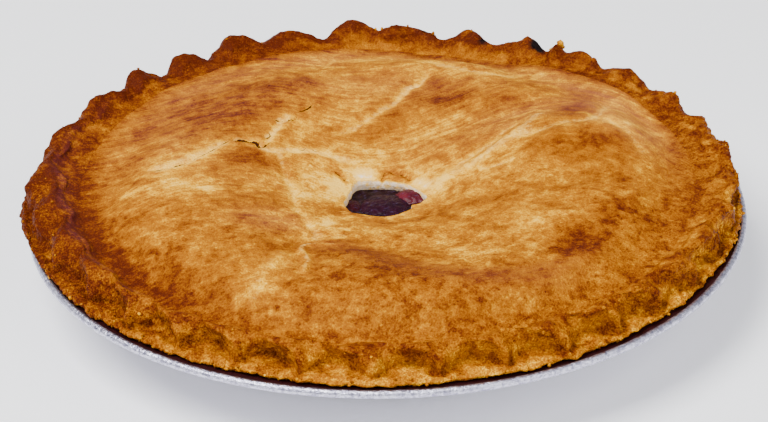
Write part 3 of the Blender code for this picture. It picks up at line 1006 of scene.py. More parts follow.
    def vent_radius(self, degrees: Array) -> Array:
        """Return the vent's ragged outline: straight runs between corners, and a tear's fine noise."""
        angles, radii = np.array(self.vent).T
        torn = NOISE.layered(turned(14.0, np.radians(degrees), 0.0), 2.6, 3)
        return np.interp(degrees, angles, radii, period=360.0) + 0.35 * torn

    def valley(self, degrees: Array) -> Array:
        """Return the height where the lid meets the rim: low in front, near the crest behind."""
        return self.level + through(degrees % 360.0, self.valley_heights)

    def skin(self, points: Array) -> Array:
        """Return the fine unevenness of rolled pastry: four sizes of noise, one upon the other."""
        flat = points * np.array([1.0, 1.0, 0.5])
        return (0.60 * NOISE.at(flat, 24.0) + 0.42 * NOISE.at(flat + 91.0, 10.0)
                + 0.20 * NOISE.at(flat + 17.0, 4.6) + 0.07 * NOISE.at(flat + 53.0, 2.0))

    def lid(self, x: Array, y: Array) -> Array:
        """Return the lid's height over plan: its turned section, humps and the valley at its edge."""
        radius, degrees = polar(x, y)
        valley = self.valley(degrees)
        high = smooth((valley - self.level - 8.0) / 5.0) * (1.0 - self.narrow_edge.at(degrees))
        start = mix(82.0, 66.0, high)
        edge = smooth((radius - start) / (self.joint_radius - start))
        height = mix(through(radius, self.lid_section), valley, edge)
        ends = smooth((radius - 86.0) / (self.joint_radius - 86.0))
        return height + patches(x, y, self.humps) * (1.0 - ends)

    def rim(self, degrees: Array) -> Array:
        """Work out the rim's stations at each angle.

        The wall of the rim runs in a wave in plan: a finger behind each lobe pushed it
        out, and the grooves between lobes stayed in. The wave shifts with the twist from
        station to station, so that the lobes lie aslant.

        Args:
            degrees: the angles.

        Returns:
            An array of stations by angles by (radius, height).
        """
        turn = np.radians(degrees)
        ring = turned(100.0, turn, 0.0)
        wander = 0.06 * NOISE.at(ring, 9.0) + 0.02 * NOISE.at(ring + 7.0, 3.0)
        own = self.trait(self.phase(degrees), 3)
        swells = [self.swell(self.phase(degrees, row) + wander) for row in range(len(Section))]
        calm = 1.0 - bells(degrees, self.calm)
        waves = [self.wave * (1.0 + 0.3 * own) * (2.0 * swell - 1.1) * (calm if 2 < row < 6 else 1.0)
                 for row, swell in enumerate(swells)]
        crest = self.crest_line(degrees) + 0.5 * NOISE.layered(ring + 3.0, 4.0, 3)
        valley = self.lid(self.joint_radius * np.cos(turn), self.joint_radius * np.sin(turn))
        lean = bells(degrees, self.leans)
        torn = (1.0 - self.whole_lip.at(degrees)) * NOISE.layered(ring + 21.0, 4.0, 4, 0.7)
        lip = self.lip_radius + bells(degrees, self.lip_reach) + 0.3 * own + 1.0 * torn
        under = self.tin.flange + self.tin.gap
        lip_under = under + 0.4 + bells(degrees, self.lip_lift) + 0.6 * NOISE.layered(ring + 31.0, 4.0, 3)
        lip_top = lip_under + self.lip_thickness
        inner = self.crest_radius + lean
        full = bells(degrees, self.full)
        point = np.abs(np.sin(np.pi * (self.phase(degrees, 7) + wander))) * (1.0 - 0.7 * full)
        deep = self.groove + self.front_groove.at(degrees)
        foot = np.minimum(lip - 1.8 - deep * point + 0.6 * own, lip - 1.0)
        over = crest - valley
        rows = (
            (self.joint_radius + 0 * turn, valley),
            (inner - 4.6 + 0.35 * waves[1], valley + 0.30 * over),
            (inner - 3.1 + 0.65 * waves[2], valley + 0.64 * over),
            (inner - 1.6 + 0.85 * waves[3], crest - 0.22 * np.maximum(over, 2.0)),
            (inner + 0.1 + 0.9 * waves[4], crest),
            (inner + 1.9 + 1.0 * full + 0.9 * waves[5], crest - 1.5 + 0.5 * swells[5]),
            (mix(inner + 2.0, foot, 0.8) + 0.35 * waves[6],
             mix(lip_top, crest, 0.36 + 0.26 * swells[6] + 0.18 * full)),
            (foot, lip_top + 0.5 + 0.4 * point),
            (mix(foot, lip, 0.55), lip_top + 0.3 + 0.8 * point),
            (lip - 0.6, lip_top),
            (lip, mix(lip_under, lip_top, 0.5)),
            (lip - 0.8, lip_under - 0.05),
            (self.tin.wall_top + 2.0 + 0 * turn, under + 0.2 + 0 * turn),
            (self.tin.wall(self.tin.flange, self.tin.foil + self.tin.gap) + 0 * turn, under + 0 * turn),
        )
        return np.stack([np.stack(np.broadcast_arrays(*row), -1) for row in rows])


# ---- The crust ----

GOLD = (1.0 + 5.0**0.5) / 2.0
ICOSAHEDRON_CORNERS = np.array([
    [-1, GOLD, 0], [1, GOLD, 0], [-1, -GOLD, 0], [1, -GOLD, 0], [0, -1, GOLD], [0, 1, GOLD],
    [0, -1, -GOLD], [0, 1, -GOLD], [GOLD, 0, -1], [GOLD, 0, 1], [-GOLD, 0, -1], [-GOLD, 0, 1]])
ICOSAHEDRON_FACES = np.array([
    [0, 11, 5], [0, 5, 1], [0, 1, 7], [0, 7, 10], [0, 10, 11], [1, 5, 9], [5, 11, 4], [11, 10, 2],
    [10, 7, 6], [7, 1, 8], [3, 9, 4], [3, 4, 2], [3, 2, 6], [3, 6, 8], [3, 8, 9], [4, 9, 5],
    [2, 4, 11], [6, 2, 10], [8, 6, 7], [9, 8, 1]])


@dataclass(frozen=True)
class Baking:
    """How the oven browned the rim and the lid's edge, mostly by angle, and where shade,
    a highlight and a sheen are painted on them.

    A mark is a small patch by angle and by place along the rim's section; its dark marks
    are partly browning and partly painted shade on the lobes. The cap is the most that the
    rim is baked anywhere, and its bells lift or lower it. The lid's edge is firm in one
    sector, starts further in at another and is streaked in a third.
    """

    middle: float = 0.66
    swells: Bells = (
        Bell(182, 40, 0.45), Bell(102, 46, 0.24), Bell(18, 32, 0.11), Bell(222, 24, 0.10))
    joint_light: Bell = Bell(170, 34, 0.26)
    # Painted highlight: the lid's edge and the joint are paler at the back and the right.
    pale_edge: Bells = (Bell(84, 34, 0.7), Bell(22, 24, 0.6))
    behind: Bells = (Bell(85, 26, 0.9), Bell(53, 9, -0.35))
    sides: Bells = (Bell(5, 34, 1.0), Bell(185, 40, 1.0))
    cap: float = 0.78
    cap_swells: Bells = (Bell(125, 74, 0.21), Bell(190, 24, 0.10), Bell(272, 60, -0.06))
    charred: Bells = (Bell(59.4, 1.9, 0.8), Bell(70.6, 1.2, 0.5))
    # Bells where a sheen is painted: on the lid's back edge, and on the rim's inner side at the left.
    lid_sheen: Bells = (Bell(95, 55, 1.0), Bell(30, 22, 0.7))
    rim_sheen: Bells = (Bell(182, 24, 0.5), Bell(215, 20, 0.3))
    firm_edge: Bell = Bell(31, 25, 1.0)
    inner_edge: Bell = Bell(2, 15, 4.0)
    streaked_edge: Bell = Bell(178, 34, 4.0)
    rear: Bell = Bell(98, 68, 1.0)
    # Painted shade in the valley inside the rim at the right.
    dark_valley: Bell = Bell(22, 30, 0.2)
    even_front: Bell = Bell(272, 60, 0.3)
    browner_lip: Bell = Bell(345, 40, 0.1)
    marks: Patches = ovals(
        (17.5, 1.6, 4, 1, 0, -0.2), (12, 2.8, 4, 0.8, 0, -0.18), (7.6, 3.4, 0.6, 0.35, 0, 0.6),
        (30, 2, 5, 1.4, 0, 0.16), (23, 1, 1.6, 2.4, 30, 0.16), (9, 0.9, 1.6, 1.6, 0, 0.16),
        (346, 2.4, 3.4, 1.2, 0, 0.24), (354, 1, 3, 1, 0, 0.16), (0, 2.4, 4, 1.4, 0, -0.14),
        (338, 2.6, 3, 1, 0, -0.16), (59.4, 3.6, 3.4, 2, 0, 0.3), (70.6, 3.6, 2.6, 1.8, 0, 0.3),
        (188, 2.6, 2.2, 1.8, 0, 0.18), (197.5, 3.2, 1.8, 1.4, 0, 0.22), (195, 4.2, 2.2, 1, 0, -0.18),
        (204, 4.6, 3, 1, 0, -0.14), (210.5, 4.2, 1.8, 1.6, 0, 0.24), (217.5, 2, 1, 1.4, 0, 0.15),
        (215, 5, 2.6, 0.9, 0, -0.12), (222, 4.3, 1.4, 1, 0, 0.26), (226, 5.4, 2.4, 1, 0, -0.14),
        (231.8, 4.9, 2.4, 0.5, 0, 0.26), (236, 5.3, 1.8, 1, 0, -0.14), (239, 4, 1.8, 1, 0, 0.2),
        (241.6, 5.2, 2, 0.35, 0, 0.32), (233, 7.8, 0.8, 0.8, 0, 0.3), (247.5, 4.6, 1.2, 0.4, 0, 0.18),
        (246.5, 6.2, 1.6, 0.8, 0, -0.14), (247.5, 7.9, 2.2, 0.8, 0, -0.22),
        (252.2, 5.2, 3, 0.5, 0, 0.16), (257, 5.3, 1.2, 1.1, 0, -0.2), (257.5, 7.6, 1.8, 0.8, 0, -0.14),
        (259.8, 4.8, 1, 0.4, 0, 0.2), (262.6, 5.4, 2.5, 0.4, 0, 0.22), (265.2, 4.9, 1.2, 0.4, 0, 0.18),
        (267.2, 7.6, 2, 0.9, 0, -0.3), (269.2, 6, 1.8, 0.7, 0, -0.24),
        (272, 6.4, 1.4, 0.4, 0, -0.16), (273, 5.2, 2.5, 0.5, 0, 0.22), (277, 6, 2.4, 0.4, 0, 0.14),
        (280, 6.3, 1.5, 0.9, 0, -0.2), (282.6, 4.8, 1.5, 0.5, 0, 0.34), (288.6, 4.8, 1.4, 0.4, 0, -0.14),
        (293.5, 4.7, 1.3, 0.5, 0, 0.28), (292, 5.3, 1.5, 0.3, 0, 0.24), (298.5, 6.2, 1.6, 0.8, 0, -0.14),
        (303, 4.9, 1.8, 0.6, 0, 0.26), (308.5, 6, 1.8, 0.9, 0, -0.12), (313.2, 5, 1.8, 0.7, 0, 0.2),
        (318.5, 4.9, 1.5, 0.2, 0, 0.3), (321.2, 5.3, 1.2, 0.25, 0, 0.34),
        (319.5, 6, 2, 0.4, 0, -0.16), (323.6, 6.2, 1.5, 0.4, 0, 0.28), (328, 5.2, 2.8, 0.3, 0, 0.18),
        (328.5, 6.9, 2, 0.6, 0, 0.22), (328, 4, 2.6, 0.9, 0, -0.16), (333.6, 5, 1.5, 1, 0, 0.2),
        (334.5, 8, 2, 0.7, 0, 0.2), (338, 4.6, 2.4, 1, 0, -0.12), (343.5, 5, 1.6, 1.6, 0, 0.22),
        (348, 4.6, 3, 1.2, 0, -0.12), (34, 1.6, 4, 1.6, 0, -0.22), (352, 3.4, 3, 1, 0, -0.16),
        (341, 1, 3.4, 1.2, 0, -0.18), (172, 2, 3, 1.4, 0, -0.14), (201, 1.6, 2.6, 1, 0, -0.14))

    def rim(self, degrees: Array) -> Array:
        """Return how far the rim is baked at each angle: most at the back and the left."""
        return self.middle + bells(degrees, self.swells)


@dataclass
class Crust:
    """The pastry: a lid and a rim that meet in the valley inside the rim, and loose crumbs.

    The lid is a square grid bent into rings, so that its points lie evenly. The rim is
    a section carried round the pie, and it ends in the plain bottom crust.
    """

    form: PastryForm = PastryForm()
    folds: LidFolds = LidFolds()
    baking: Baking = Baking()
    stroke: Pairs = (
        (-110.0, -18.0), (-80.0, -10.0), (-60.0, 0.0), (-45.0, 4.0), (-30.0, 2.0), (-12.0, -4.0),
        (5.0, -2.0), (20.0, 5.0), (40.0, 17.0), (58.0, 22.0), (72.0, 16.0), (90.0, -2.0), (110.0, -22.0))
    crumbs: int = 260
    lip_share: float = 0.75
    lip_rows: tuple[int, int] = (46, 56)
    crest_rows: tuple[int, int] = (18, 30)
    crumb_sizes: tuple[float, float] = (0.28, 0.75)
    set_crumbs: tuple[tuple[float, int, float], ...] = (
        (55.6, 24, 2.1), (56.8, 24, 1.5), (55.2, 25, 0.9), (80.3, 24, 0.8), (148.6, 24, 0.7),
        (47.2, 25, 0.7), (43.8, 26, 0.6), (46.0, 26, 0.6), (90.2, 23, 0.8), (93.0, 24, 0.7))
    rings: int = 154
    vent_ring: int = 20
    wall_rows: int = 9
    rim_rows: int = 66
    vent_foot: float = 20.8
    joint_depth: float = 4.5
    bottom_thickness: float = 3.6
    hub: float = 8.0
    cavity_edge: tuple[float, float] = (92.0, 18.5)
    craggy: Bell = Bell(12, 30, 1.0)
    plain_front: Bell = Bell(275, 50, 0.4)

    @property
    def columns(self) -> int:
        """The points round the ring where lid and rim meet."""
        return 8 * self.rings

    def build(self, finish: PastryFinish) -> None:
        """Build lid and rim, shade them alike at their joint, and scatter the crumbs."""
        material = finish.material("baked_pastry")
        lid_points, lid_faces, lid_ring, lid_fields = self.lid_arrays()
        rim_points, rim_faces, rim_ring, rim_fields = self.rim_arrays()
        lid_normals = vertex_normals(lid_points, lid_faces)
        rim_normals = vertex_normals(rim_points, rim_faces)
        shared = lid_normals[lid_ring] + rim_normals[rim_ring]
        lid_normals[lid_ring] = shared
        rim_normals[rim_ring] = shared
        lid = make_piece("crust_lid", lid_points, lid_faces, material, lid_fields, lid_normals)
        finish_piece(lid, "pastry", "crust")
        rim = make_piece("crust_rim", rim_points, rim_faces, material, rim_fields, rim_normals)
        finish_piece(rim, "pastry", "crust")
        points, faces, fields = self.crumb_arrays(rim_points, rim_normals)
        finish_piece(make_piece("crust_crumbs", points, faces, material, fields), "pastry")

    def lid_arrays(self) -> tuple[Array, Blocks, Array, Fields]:
        """Work out the lid: top, vent wall, underside and the narrow wall at its joint.

        Point (i, j) of a square grid goes to ring k = max(|i|, |j|), at an angle that
        grows evenly along the square's sides.

        Returns:
            The points, the blocks of faces, the point numbers of the joint ring and the
            fields.
        """
        span = np.arange(-self.rings, self.rings + 1)
        i, j = np.meshgrid(span, span, indexing="ij")
        k = np.maximum(np.abs(i), np.abs(j))
        kept = k >= self.vent_ring
        number = np.where(kept, np.cumsum(kept.ravel()).reshape(kept.shape) - 1, -1)
        sideways = np.abs(i) >= np.abs(j)
        safe = np.maximum(k, 1)
        across = np.where(i > 0, 0.0, np.pi) + 0.25 * np.pi * j / (safe * np.where(i > 0, 1, -1))
        upward = np.where(j > 0, 0.5, 1.5) * np.pi - 0.25 * np.pi * i / (safe * np.where(j > 0, 1, -1))
        turn = np.where(sideways, across, upward)
        k, turn = k[kept], turn[kept]
        top, relief = self.lid_top(self.form.joint_radius * k / self.rings, turn)
        block = np.stack([number[:-1, :-1], number[1:, :-1], number[1:, 1:], number[:-1, 1:]], -1)
        block = block.reshape(-1, 4)
        faces = [block[(block >= 0).all(1)]]
        outer, inner = (np.nonzero(k == ring)[0] for ring in (self.rings, self.vent_ring))
        outer, inner = (ring[np.argsort(np.round(turn[ring] % (2 * np.pi), 6))] for ring in (outer, inner))
        wall = self.vent_wall(top[inner])
        count = len(top)
        columns = len(inner)
        wall_faces = grid_faces(self.wall_rows, columns, count)[:, ::-1]
        first = np.stack([inner, np.roll(inner, -1), count + (np.arange(columns) + 1) % columns,
                          count + np.arange(columns)], -1)
        foot = count + (self.wall_rows - 1) * columns + np.arange(columns)
        skirt = top[outer] - np.array([0.0, 0.0, self.joint_depth])
        skirt_ring = count + len(wall) + np.arange(len(outer))
        skirt_faces = np.stack([outer, skirt_ring, np.roll(skirt_ring, -1), np.roll(outer, -1)], -1)
        faces += [wall_faces, first, skirt_faces, zipped(foot, skirt_ring)[:, ::-1]]
        fields = self.lid_fields(top, relief, len(wall), len(skirt))
        return np.concatenate([top, wall, skirt]), faces, outer, fields

    def lid_fields(self, top: Array, relief: Fields, wall: int, skirt: int) -> Fields:
        """Return the fields of the lid's top, then of its wall and its plain skirt.

        The wall is pale crumb at the top and darker towards the bottom.
        """
        fields = self.lid_colours(top, relief)
        inside = {"bake_and_shading": 0.0, "cream": 1.7, "speckle": 0.2, "streaked": 0.1, "crack": FAR, "crumbly": 0.4}
        whole = {}
        for name, values in fields.items():
            rest = np.full((wall + skirt,) + values.shape[1:], inside.get(name, 0.0))
            whole[name] = np.concatenate([values, rest])
        depth = np.repeat(np.linspace(0.0, 1.0, self.wall_rows), wall // self.wall_rows)
        whole["char"][len(top):len(top) + wall] = 1.2 * smooth((depth - 0.4) / 0.45)
        return whole

    def lid_top(self, radius: Array, turn: Array) -> tuple[Array, Fields]:
        """Place the lid's upper surface, with its inner rings drawn to the vent's outline."""
        degrees = np.degrees(turn)
        start = self.form.joint_radius * self.vent_ring / self.rings
        pull = (1.0 - smooth((radius - start) / 16.0)) * (self.form.vent_radius(degrees) - start)
        radius = radius + pull
        x, y = radius * np.cos(turn), radius * np.sin(turn)
        points = np.stack([x, y, self.form.lid(x, y)], -1)
        relief = self.folds.relief(x, y)
        away = 1.0 - smooth((radius - 84.0) / 12.0)
        points[:, 2] += self.form.skin(points) + relief["height"] * away
        return points, relief

    def vent_wall(self, edge: Array) -> Array:
        """Carry the vent's edge down to the filling, rounded at the top and torn below."""
        depth = np.linspace(0.0, 1.0, self.wall_rows + 1)[1:, None, None]
        outward = scaled_to_one(edge * np.array([1.0, 1.0, 0.0]))[None]
        drop = (edge[None, :, 2:] - self.vent_foot) * depth
        points = edge[None] - np.array([0.0, 0.0, 1.0]) * drop
        tuck = 0.5 * np.sin(0.5 * np.pi * np.minimum(depth * 3.0, 1.0)) - 1.6 * depth**2
        points = points - outward * tuck
        rough = NOISE.layered(points, 2.0, 3)[..., None]
        points = points + outward * 0.35 * rough * np.sin(np.pi * depth)
        return points.reshape(-1, 3)

    def rim_arrays(self) -> tuple[Array, Blocks, Array, Fields]:
        """Work out the rim and the bottom crust as one closed solid.

        Returns:
            The points, the blocks of faces, the point numbers of the joint ring and the
            fields.
        """
        columns, tin = self.columns, self.form.tin
        turn = full_turn(columns)
        stations = self.form.rim(np.degrees(turn))
        places = self.row_places(stations)
        section = carried(stations, places)
        section[0] = stations[0]
        points = self.roughen(turned(section[..., 0], turn, section[..., 1]), places)
        base = tin.foil + tin.gap
        heel = tin.heel_height + base
        floor = base + self.bottom_thickness
        plain = ((tin.wall(heel, base), heel), (tin.base_radius - tin.heel, base), (self.hub, base))
        inside = ((self.hub, floor), (tin.wall(floor, floor), floor), self.cavity_edge)
        rows = [turned(radius, turn, height) for radius, height in plain]
        cavity = [turned(radius, turn, height) for radius, height in inside]
        under_joint = points[0] - np.array([0.0, 0.0, self.joint_depth])
        count = len(points)
        blocks = np.concatenate([points, np.stack(rows)])
        faces = [grid_faces(len(blocks), columns)]
        start = len(blocks) * columns
        inner = np.stack(cavity + [under_joint])
        faces.append(grid_faces(len(inner), columns, start))
        last = start + (len(inner) - 1) * columns
        ring = np.arange(columns)
        faces.append(np.stack([last + ring, ring, np.roll(ring, -1), last + np.roll(ring, -1)], -1))
        centre = start + len(inner) * columns
        faces.append(fan(centre, (count + 2) * columns + ring)[:, ::-1])
        faces.append(fan(centre + 1, start + ring))
        poles = np.array([[0.0, 0.0, base], [0.0, 0.0, floor]])
        every = np.concatenate([blocks.reshape(-1, 3), inner.reshape(-1, 3), poles])
        return every, faces, ring, self.rim_colours(every, places, columns)

    def crumb_arrays(self, rim: Array, normals: Array) -> tuple[Array, Blocks, Fields]:
        """Scatter crumbs and flakes over the lip and the crest, a few at listed places.

        Each is an icosahedron drawn in and out at its corners and half sunk in the rim.

        Args:
            rim: the rim's points.
            normals: their normals.

        Returns:
            The points, the blocks of faces and the fields.
        """
        draw = np.random.default_rng(11)
        count, corners = self.crumbs, len(ICOSAHEDRON_CORNERS)
        on_lip = draw.random(count) < self.lip_share
        lip_row, crest_row = (draw.integers(*rows, count) for rows in (self.lip_rows, self.crest_rows))
        row = np.where(on_lip, lip_row, crest_row)
        column = draw.integers(0, self.columns, count)
        size = draw.uniform(*self.crumb_sizes, count)
        for index, (degrees, set_row, radius) in enumerate(self.set_crumbs):
            row[index], size[index] = set_row, radius
            column[index] = round(degrees / 360.0 * self.columns)
        spot = row * self.columns + column
        shape = scaled_to_one(ICOSAHEDRON_CORNERS)[None] * draw.uniform(0.7, 1.2, (count, corners, 1))
        shape = shape * draw.uniform(0.6, 1.3, (count, 1, 3))
        centre = rim[spot] + scaled_to_one(normals[spot]) * 0.3 * size[:, None]
        points = (centre[:, None] + shape * size[:, None, None]).reshape(-1, 3)
        faces = (ICOSAHEDRON_FACES[None] + corners * np.arange(count)[:, None, None]).reshape(-1, 3)
        fields = {name: np.full(len(points), level) for name, level in (
            ("cream", 0.0), ("char", 0.0), ("speckle", 0.5), ("streaked", 0.0), ("crumbly", 0.6),
            ("sheen", 0.0), ("crack", FAR), ("gape", 0.0))}
        fields["bake_and_shading"] = np.repeat(draw.uniform(0.2, 0.75, count), corners)
        fields["grain"] = self.grain(points)
        return points, [faces], fields

    def row_places(self, stations: Array) -> Array:
        """Spread the rows along the section by the length of the mean section."""
        fine = np.linspace(0.0, len(stations) - 1, 40 * (len(stations) - 1) + 1)
        mean = carried(stations.mean(1), fine)
        length = np.concatenate([[0.0], np.cumsum(np.linalg.norm(np.diff(mean, axis=0), axis=1))])
        return np.interp(np.linspace(0.0, length[-1], self.rim_rows), length, fine)

    def roughen(self, points: Array, places: Array) -> Array:
        """Give the rim its skin, flaky layers and crumbly lip, along its own normals."""
        along = np.gradient(points, axis=0)
        round_rim = np.roll(points, -1, 1) - np.roll(points, 1, 1)
        normals = scaled_to_one(np.cross(along, round_rim))
        away = smooth(places / 2.0)[:, None, None]
        normals = scaled_to_one(mix(np.array([0.0, 0.0, 1.0]), normals, away))
        _, degrees = polar(points[..., 0], points[..., 1])
        turn = np.radians(degrees)
        place = places[:, None] + 0 * turn
        outside = smooth((place - Section.CREST.value) / 2.0)
        hidden = 1.0 - smooth((place - Section.LIP_UNDER.value + 0.5) / 0.8)
        # Folds run down the section from the crest, about three times as long as wide.
        folds = turned(100.0, turn, place * 0.9)
        crag = 1.6 * np.abs(NOISE.layered(points + 70.0, 8.0, 2)) - 0.45
        crinkle = 1.6 * np.abs(NOISE.layered(folds, 3.0, 2)) - 0.45
        crumb = NOISE.layered(points, 2.8, 4, 0.7)
        height = self.form.skin(points)
        right = self.craggy.at(degrees)
        firm = 1.0 - self.plain_front.at(degrees)
        height += smooth(place / 2.5) * ((0.35 + 0.75 * right) * crag + 0.25 * crinkle + 0.25 * crumb)
        height += outside * ((0.85 - 0.5 * right) * crag + 0.55 * crinkle + 0.45 * crumb) * firm
        return points + normals * (height * hidden)[..., None]

    def grain(self, points: Array) -> Array:
        """Return places in which noise is drawn out along the strokes of the glazing brush.

        A stroke wanders over the pie from left to right, so its across is y less the
        wander, and its along is a tenth of x.
        """
        x, y, z = points.T
        across = y - through(x, self.stroke)
        return np.stack([0.1 * x, across, z], -1) * MM

    def lid_edge(self, points: Array) -> Array:
        """Return how far the lid has gone over to the rim's baking: 0 on the lid, 1 at the joint.

        It starts further out where the valley is high, and is ragged, firmer at the right
        and drawn out in streaks at the left.
        """
        baking = self.baking
        radius, degrees = polar(points[:, 0], points[:, 1])
        firm = baking.firm_edge.at(degrees)
        start = 86.0 + 6.0 * smooth((self.form.valley(degrees) - 30.0) / 4.0)
        start = start - baking.inner_edge.at(degrees) + 3.0 * firm
        streaks = NOISE.layered(self.grain(points) / MM, 2.6, 2) - 0.15
        ragged = 1.6 * NOISE.layered(points * np.array([1.0, 1.0, 0.3]) + 5.0, 9.0, 2)
        ragged += baking.streaked_edge.at(degrees) * streaks
        return smooth((radius - start + ragged) / (9.0 - 5.0 * firm))

    def lid_colours(self, points: Array, relief: Fields) -> Fields:
        """Work out what the finish reads at the lid's points.

        The baking is a middle value, browned patches and noise of three sizes, with painted
        shade on the band in front of the fold and a painted highlight at the lid's edge behind.
        The cream of the creases fades round the vent, in golden patches and towards the joint.

        Args:
            points: the lid's upper points.
            relief: what the folds say of them.

        Returns:
            The fields bake, cream, char, speckle, streaked, crumbly, sheen, crack, gape
            and grain.
        """
        x, y, _ = points.T
        radius, degrees = polar(x, y)
        folds, band = self.folds, relief["band"]
        flat = points * np.array([1.0, 1.0, 0.3])
        front = smooth((25.0 - y - 0.35 * np.minimum(x, 0.0)) / 60.0)
        bake_and_shading = 0.50 + patches(x, y, folds.brown)
        bake_and_shading += 0.14 * NOISE.layered(flat, 19.0, 2) + 0.14 * NOISE.layered(flat + 50.0, 8.0, 2)
        # The last term paints shade on the band in front of the fold.
        bake_and_shading += 0.10 * NOISE.layered(flat + 90.0, 3.4, 2) + 0.13 * band
        edge = self.lid_edge(points)
        # A painted highlight: the lid's edge, and the joint's colour, paler at the back and the right.
        pale = 0.14 * bells(degrees, self.baking.pale_edge)
        at_joint = self.baking.rim(degrees) - pale - self.baking.joint_light.at(degrees)
        bake_and_shading = mix(bake_and_shading - pale * smooth((radius - 76.0) / 8.0), at_joint, edge)
        cream = 1.0 - (1.0 - relief["cream"]) * (1.0 - 0.26 * bump(radius - 13.0, 6.0))
        cream = (cream - patches(x, y, folds.golden)) * (1.0 - edge)
        dotted = np.maximum(front * smooth((x + 60.0) / 50.0), patches(x, y, folds.dotted))
        speckle = (0.62 + 0.32 * dotted - patches(x, y, folds.clear)) * (1.0 - 0.45 * band)
        # Painted sheen: in patches, along the lid's back edge and on the band before the fold.
        rear = bump(radius - 89.0, 7.0) * bells(degrees, self.baking.lid_sheen)
        sheen = np.clip(patches(x, y, folds.sheen) + 0.7 * rear + 0.24 * band, 0.0, 1.0)
        return {"bake_and_shading": bake_and_shading, "cream": cream, "char": 0.0 * radius, "speckle": speckle,
                "streaked": 0.75 * (1.0 - 0.88 * dotted) + 0.4 * band,
                "crumbly": 0.28 + 0.22 * edge + 0.18 * front, "sheen": sheen,
                "crack": relief["crack"], "gape": relief["gape"], "grain": self.grain(points)}

    def rim_colours(self, points: Array, places: Array, columns: int) -> Fields:
        """Work out what the finish reads at the rim's points.

        The rim is baked most on its crest, less in the grooves between flutes, and least
        on the raw lip. Its creases, its foot and its valley at the right are painted darker,
        as shade. Its set marks come on top.

        Args:
            points: the rim's points, the rows of its section first.
            places: those rows' places along the section.
            columns: the points of one row.

        Returns:
            The same fields as the lid's.
        """
        baking = self.baking
        _, degrees = polar(points[:, 0], points[:, 1])
        place = np.full(len(points), float(Section.FLANGE.value))
        place[:len(places) * columns] = np.repeat(places, columns)
        swell = self.form.swell(self.form.phase(degrees, place))
        base, sides = baking.rim(degrees), bells(degrees, baking.sides)
        rear = baking.rear.at(degrees)
        bake_and_shading = base + (0.12 + 0.36 * sides) * NOISE.layered(points, 14.0, 2)
        bake_and_shading += (0.18 + 0.12 * sides) * NOISE.layered(points + 50.0, 5.0, 3)
        light = 0.34 * bells(degrees, baking.behind) + baking.joint_light.at(degrees)
        bake_and_shading -= light * (1.0 - smooth(place / 3.0))
        crest = bump(place - 3.9 - 0.6 * swell + 0.9 * rear, 1.1)
        bake_and_shading += (0.13 + 0.30 * rear) * crest * (0.55 + 0.45 * swell)
        bake_and_shading -= 0.20 * smooth((place - 5.2) / 1.2) * (1.1 - swell)
        # Painted shade: a slightly darker band at the foot, under the lobes.
        bake_and_shading += 0.07 * bump(place - 6.8, 0.5)
        # Painted shade in the valley where the lid meets the rim, at the right.
        bake_and_shading += bump(place, 0.7) * baking.dark_valley.at(degrees)
        # Painted shade in the rim's crevices, where its craggy noise runs through zero.
        crevice_shade = 1.0 - smooth(np.abs(NOISE.layered(points + 70.0, 8.0, 2)) / 0.16)
        bake_and_shading += (0.12 + 0.12 * sides) * crevice_shade * smooth((place - 1.0) / 2.0)
        bake_and_shading += patches(degrees % 360.0, place, baking.marks)
        bake_and_shading = mix(base, bake_and_shading, 1.0 - baking.even_front.at(degrees))
        bake_and_shading = np.minimum(bake_and_shading, baking.cap + bells(degrees, baking.cap_swells))
        raw = 0.41 + 1.2 * (base - baking.middle) + baking.browner_lip.at(degrees)
        raw += 0.30 * NOISE.layered(points + 20.0, 2.6, 3)
        bake_and_shading = mix(bake_and_shading, raw, 0.8 * smooth((place - 7.4) / 1.4))
        none = 0.0 * place
        return {"bake_and_shading": bake_and_shading, "cream": none, "gape": none, "crack": none + FAR,
                "char": 1.6 * bump(place - 3.4, 1.5) * bells(degrees, baking.charred),
                "speckle": 0.9 - 0.4 * rear, "streaked": 0.3 + 0.2 * rear,
                "crumbly": 0.5 + 0.3 * sides + 0.5 * smooth((place - 3.0) / 3.0),
                # Painted sheen on the rim's inner side at the left.
                "sheen": bump(place - 2.2, 1.4) * bells(degrees, baking.rim_sheen),
                "grain": self.grain(points)}


# ---- The filling ----

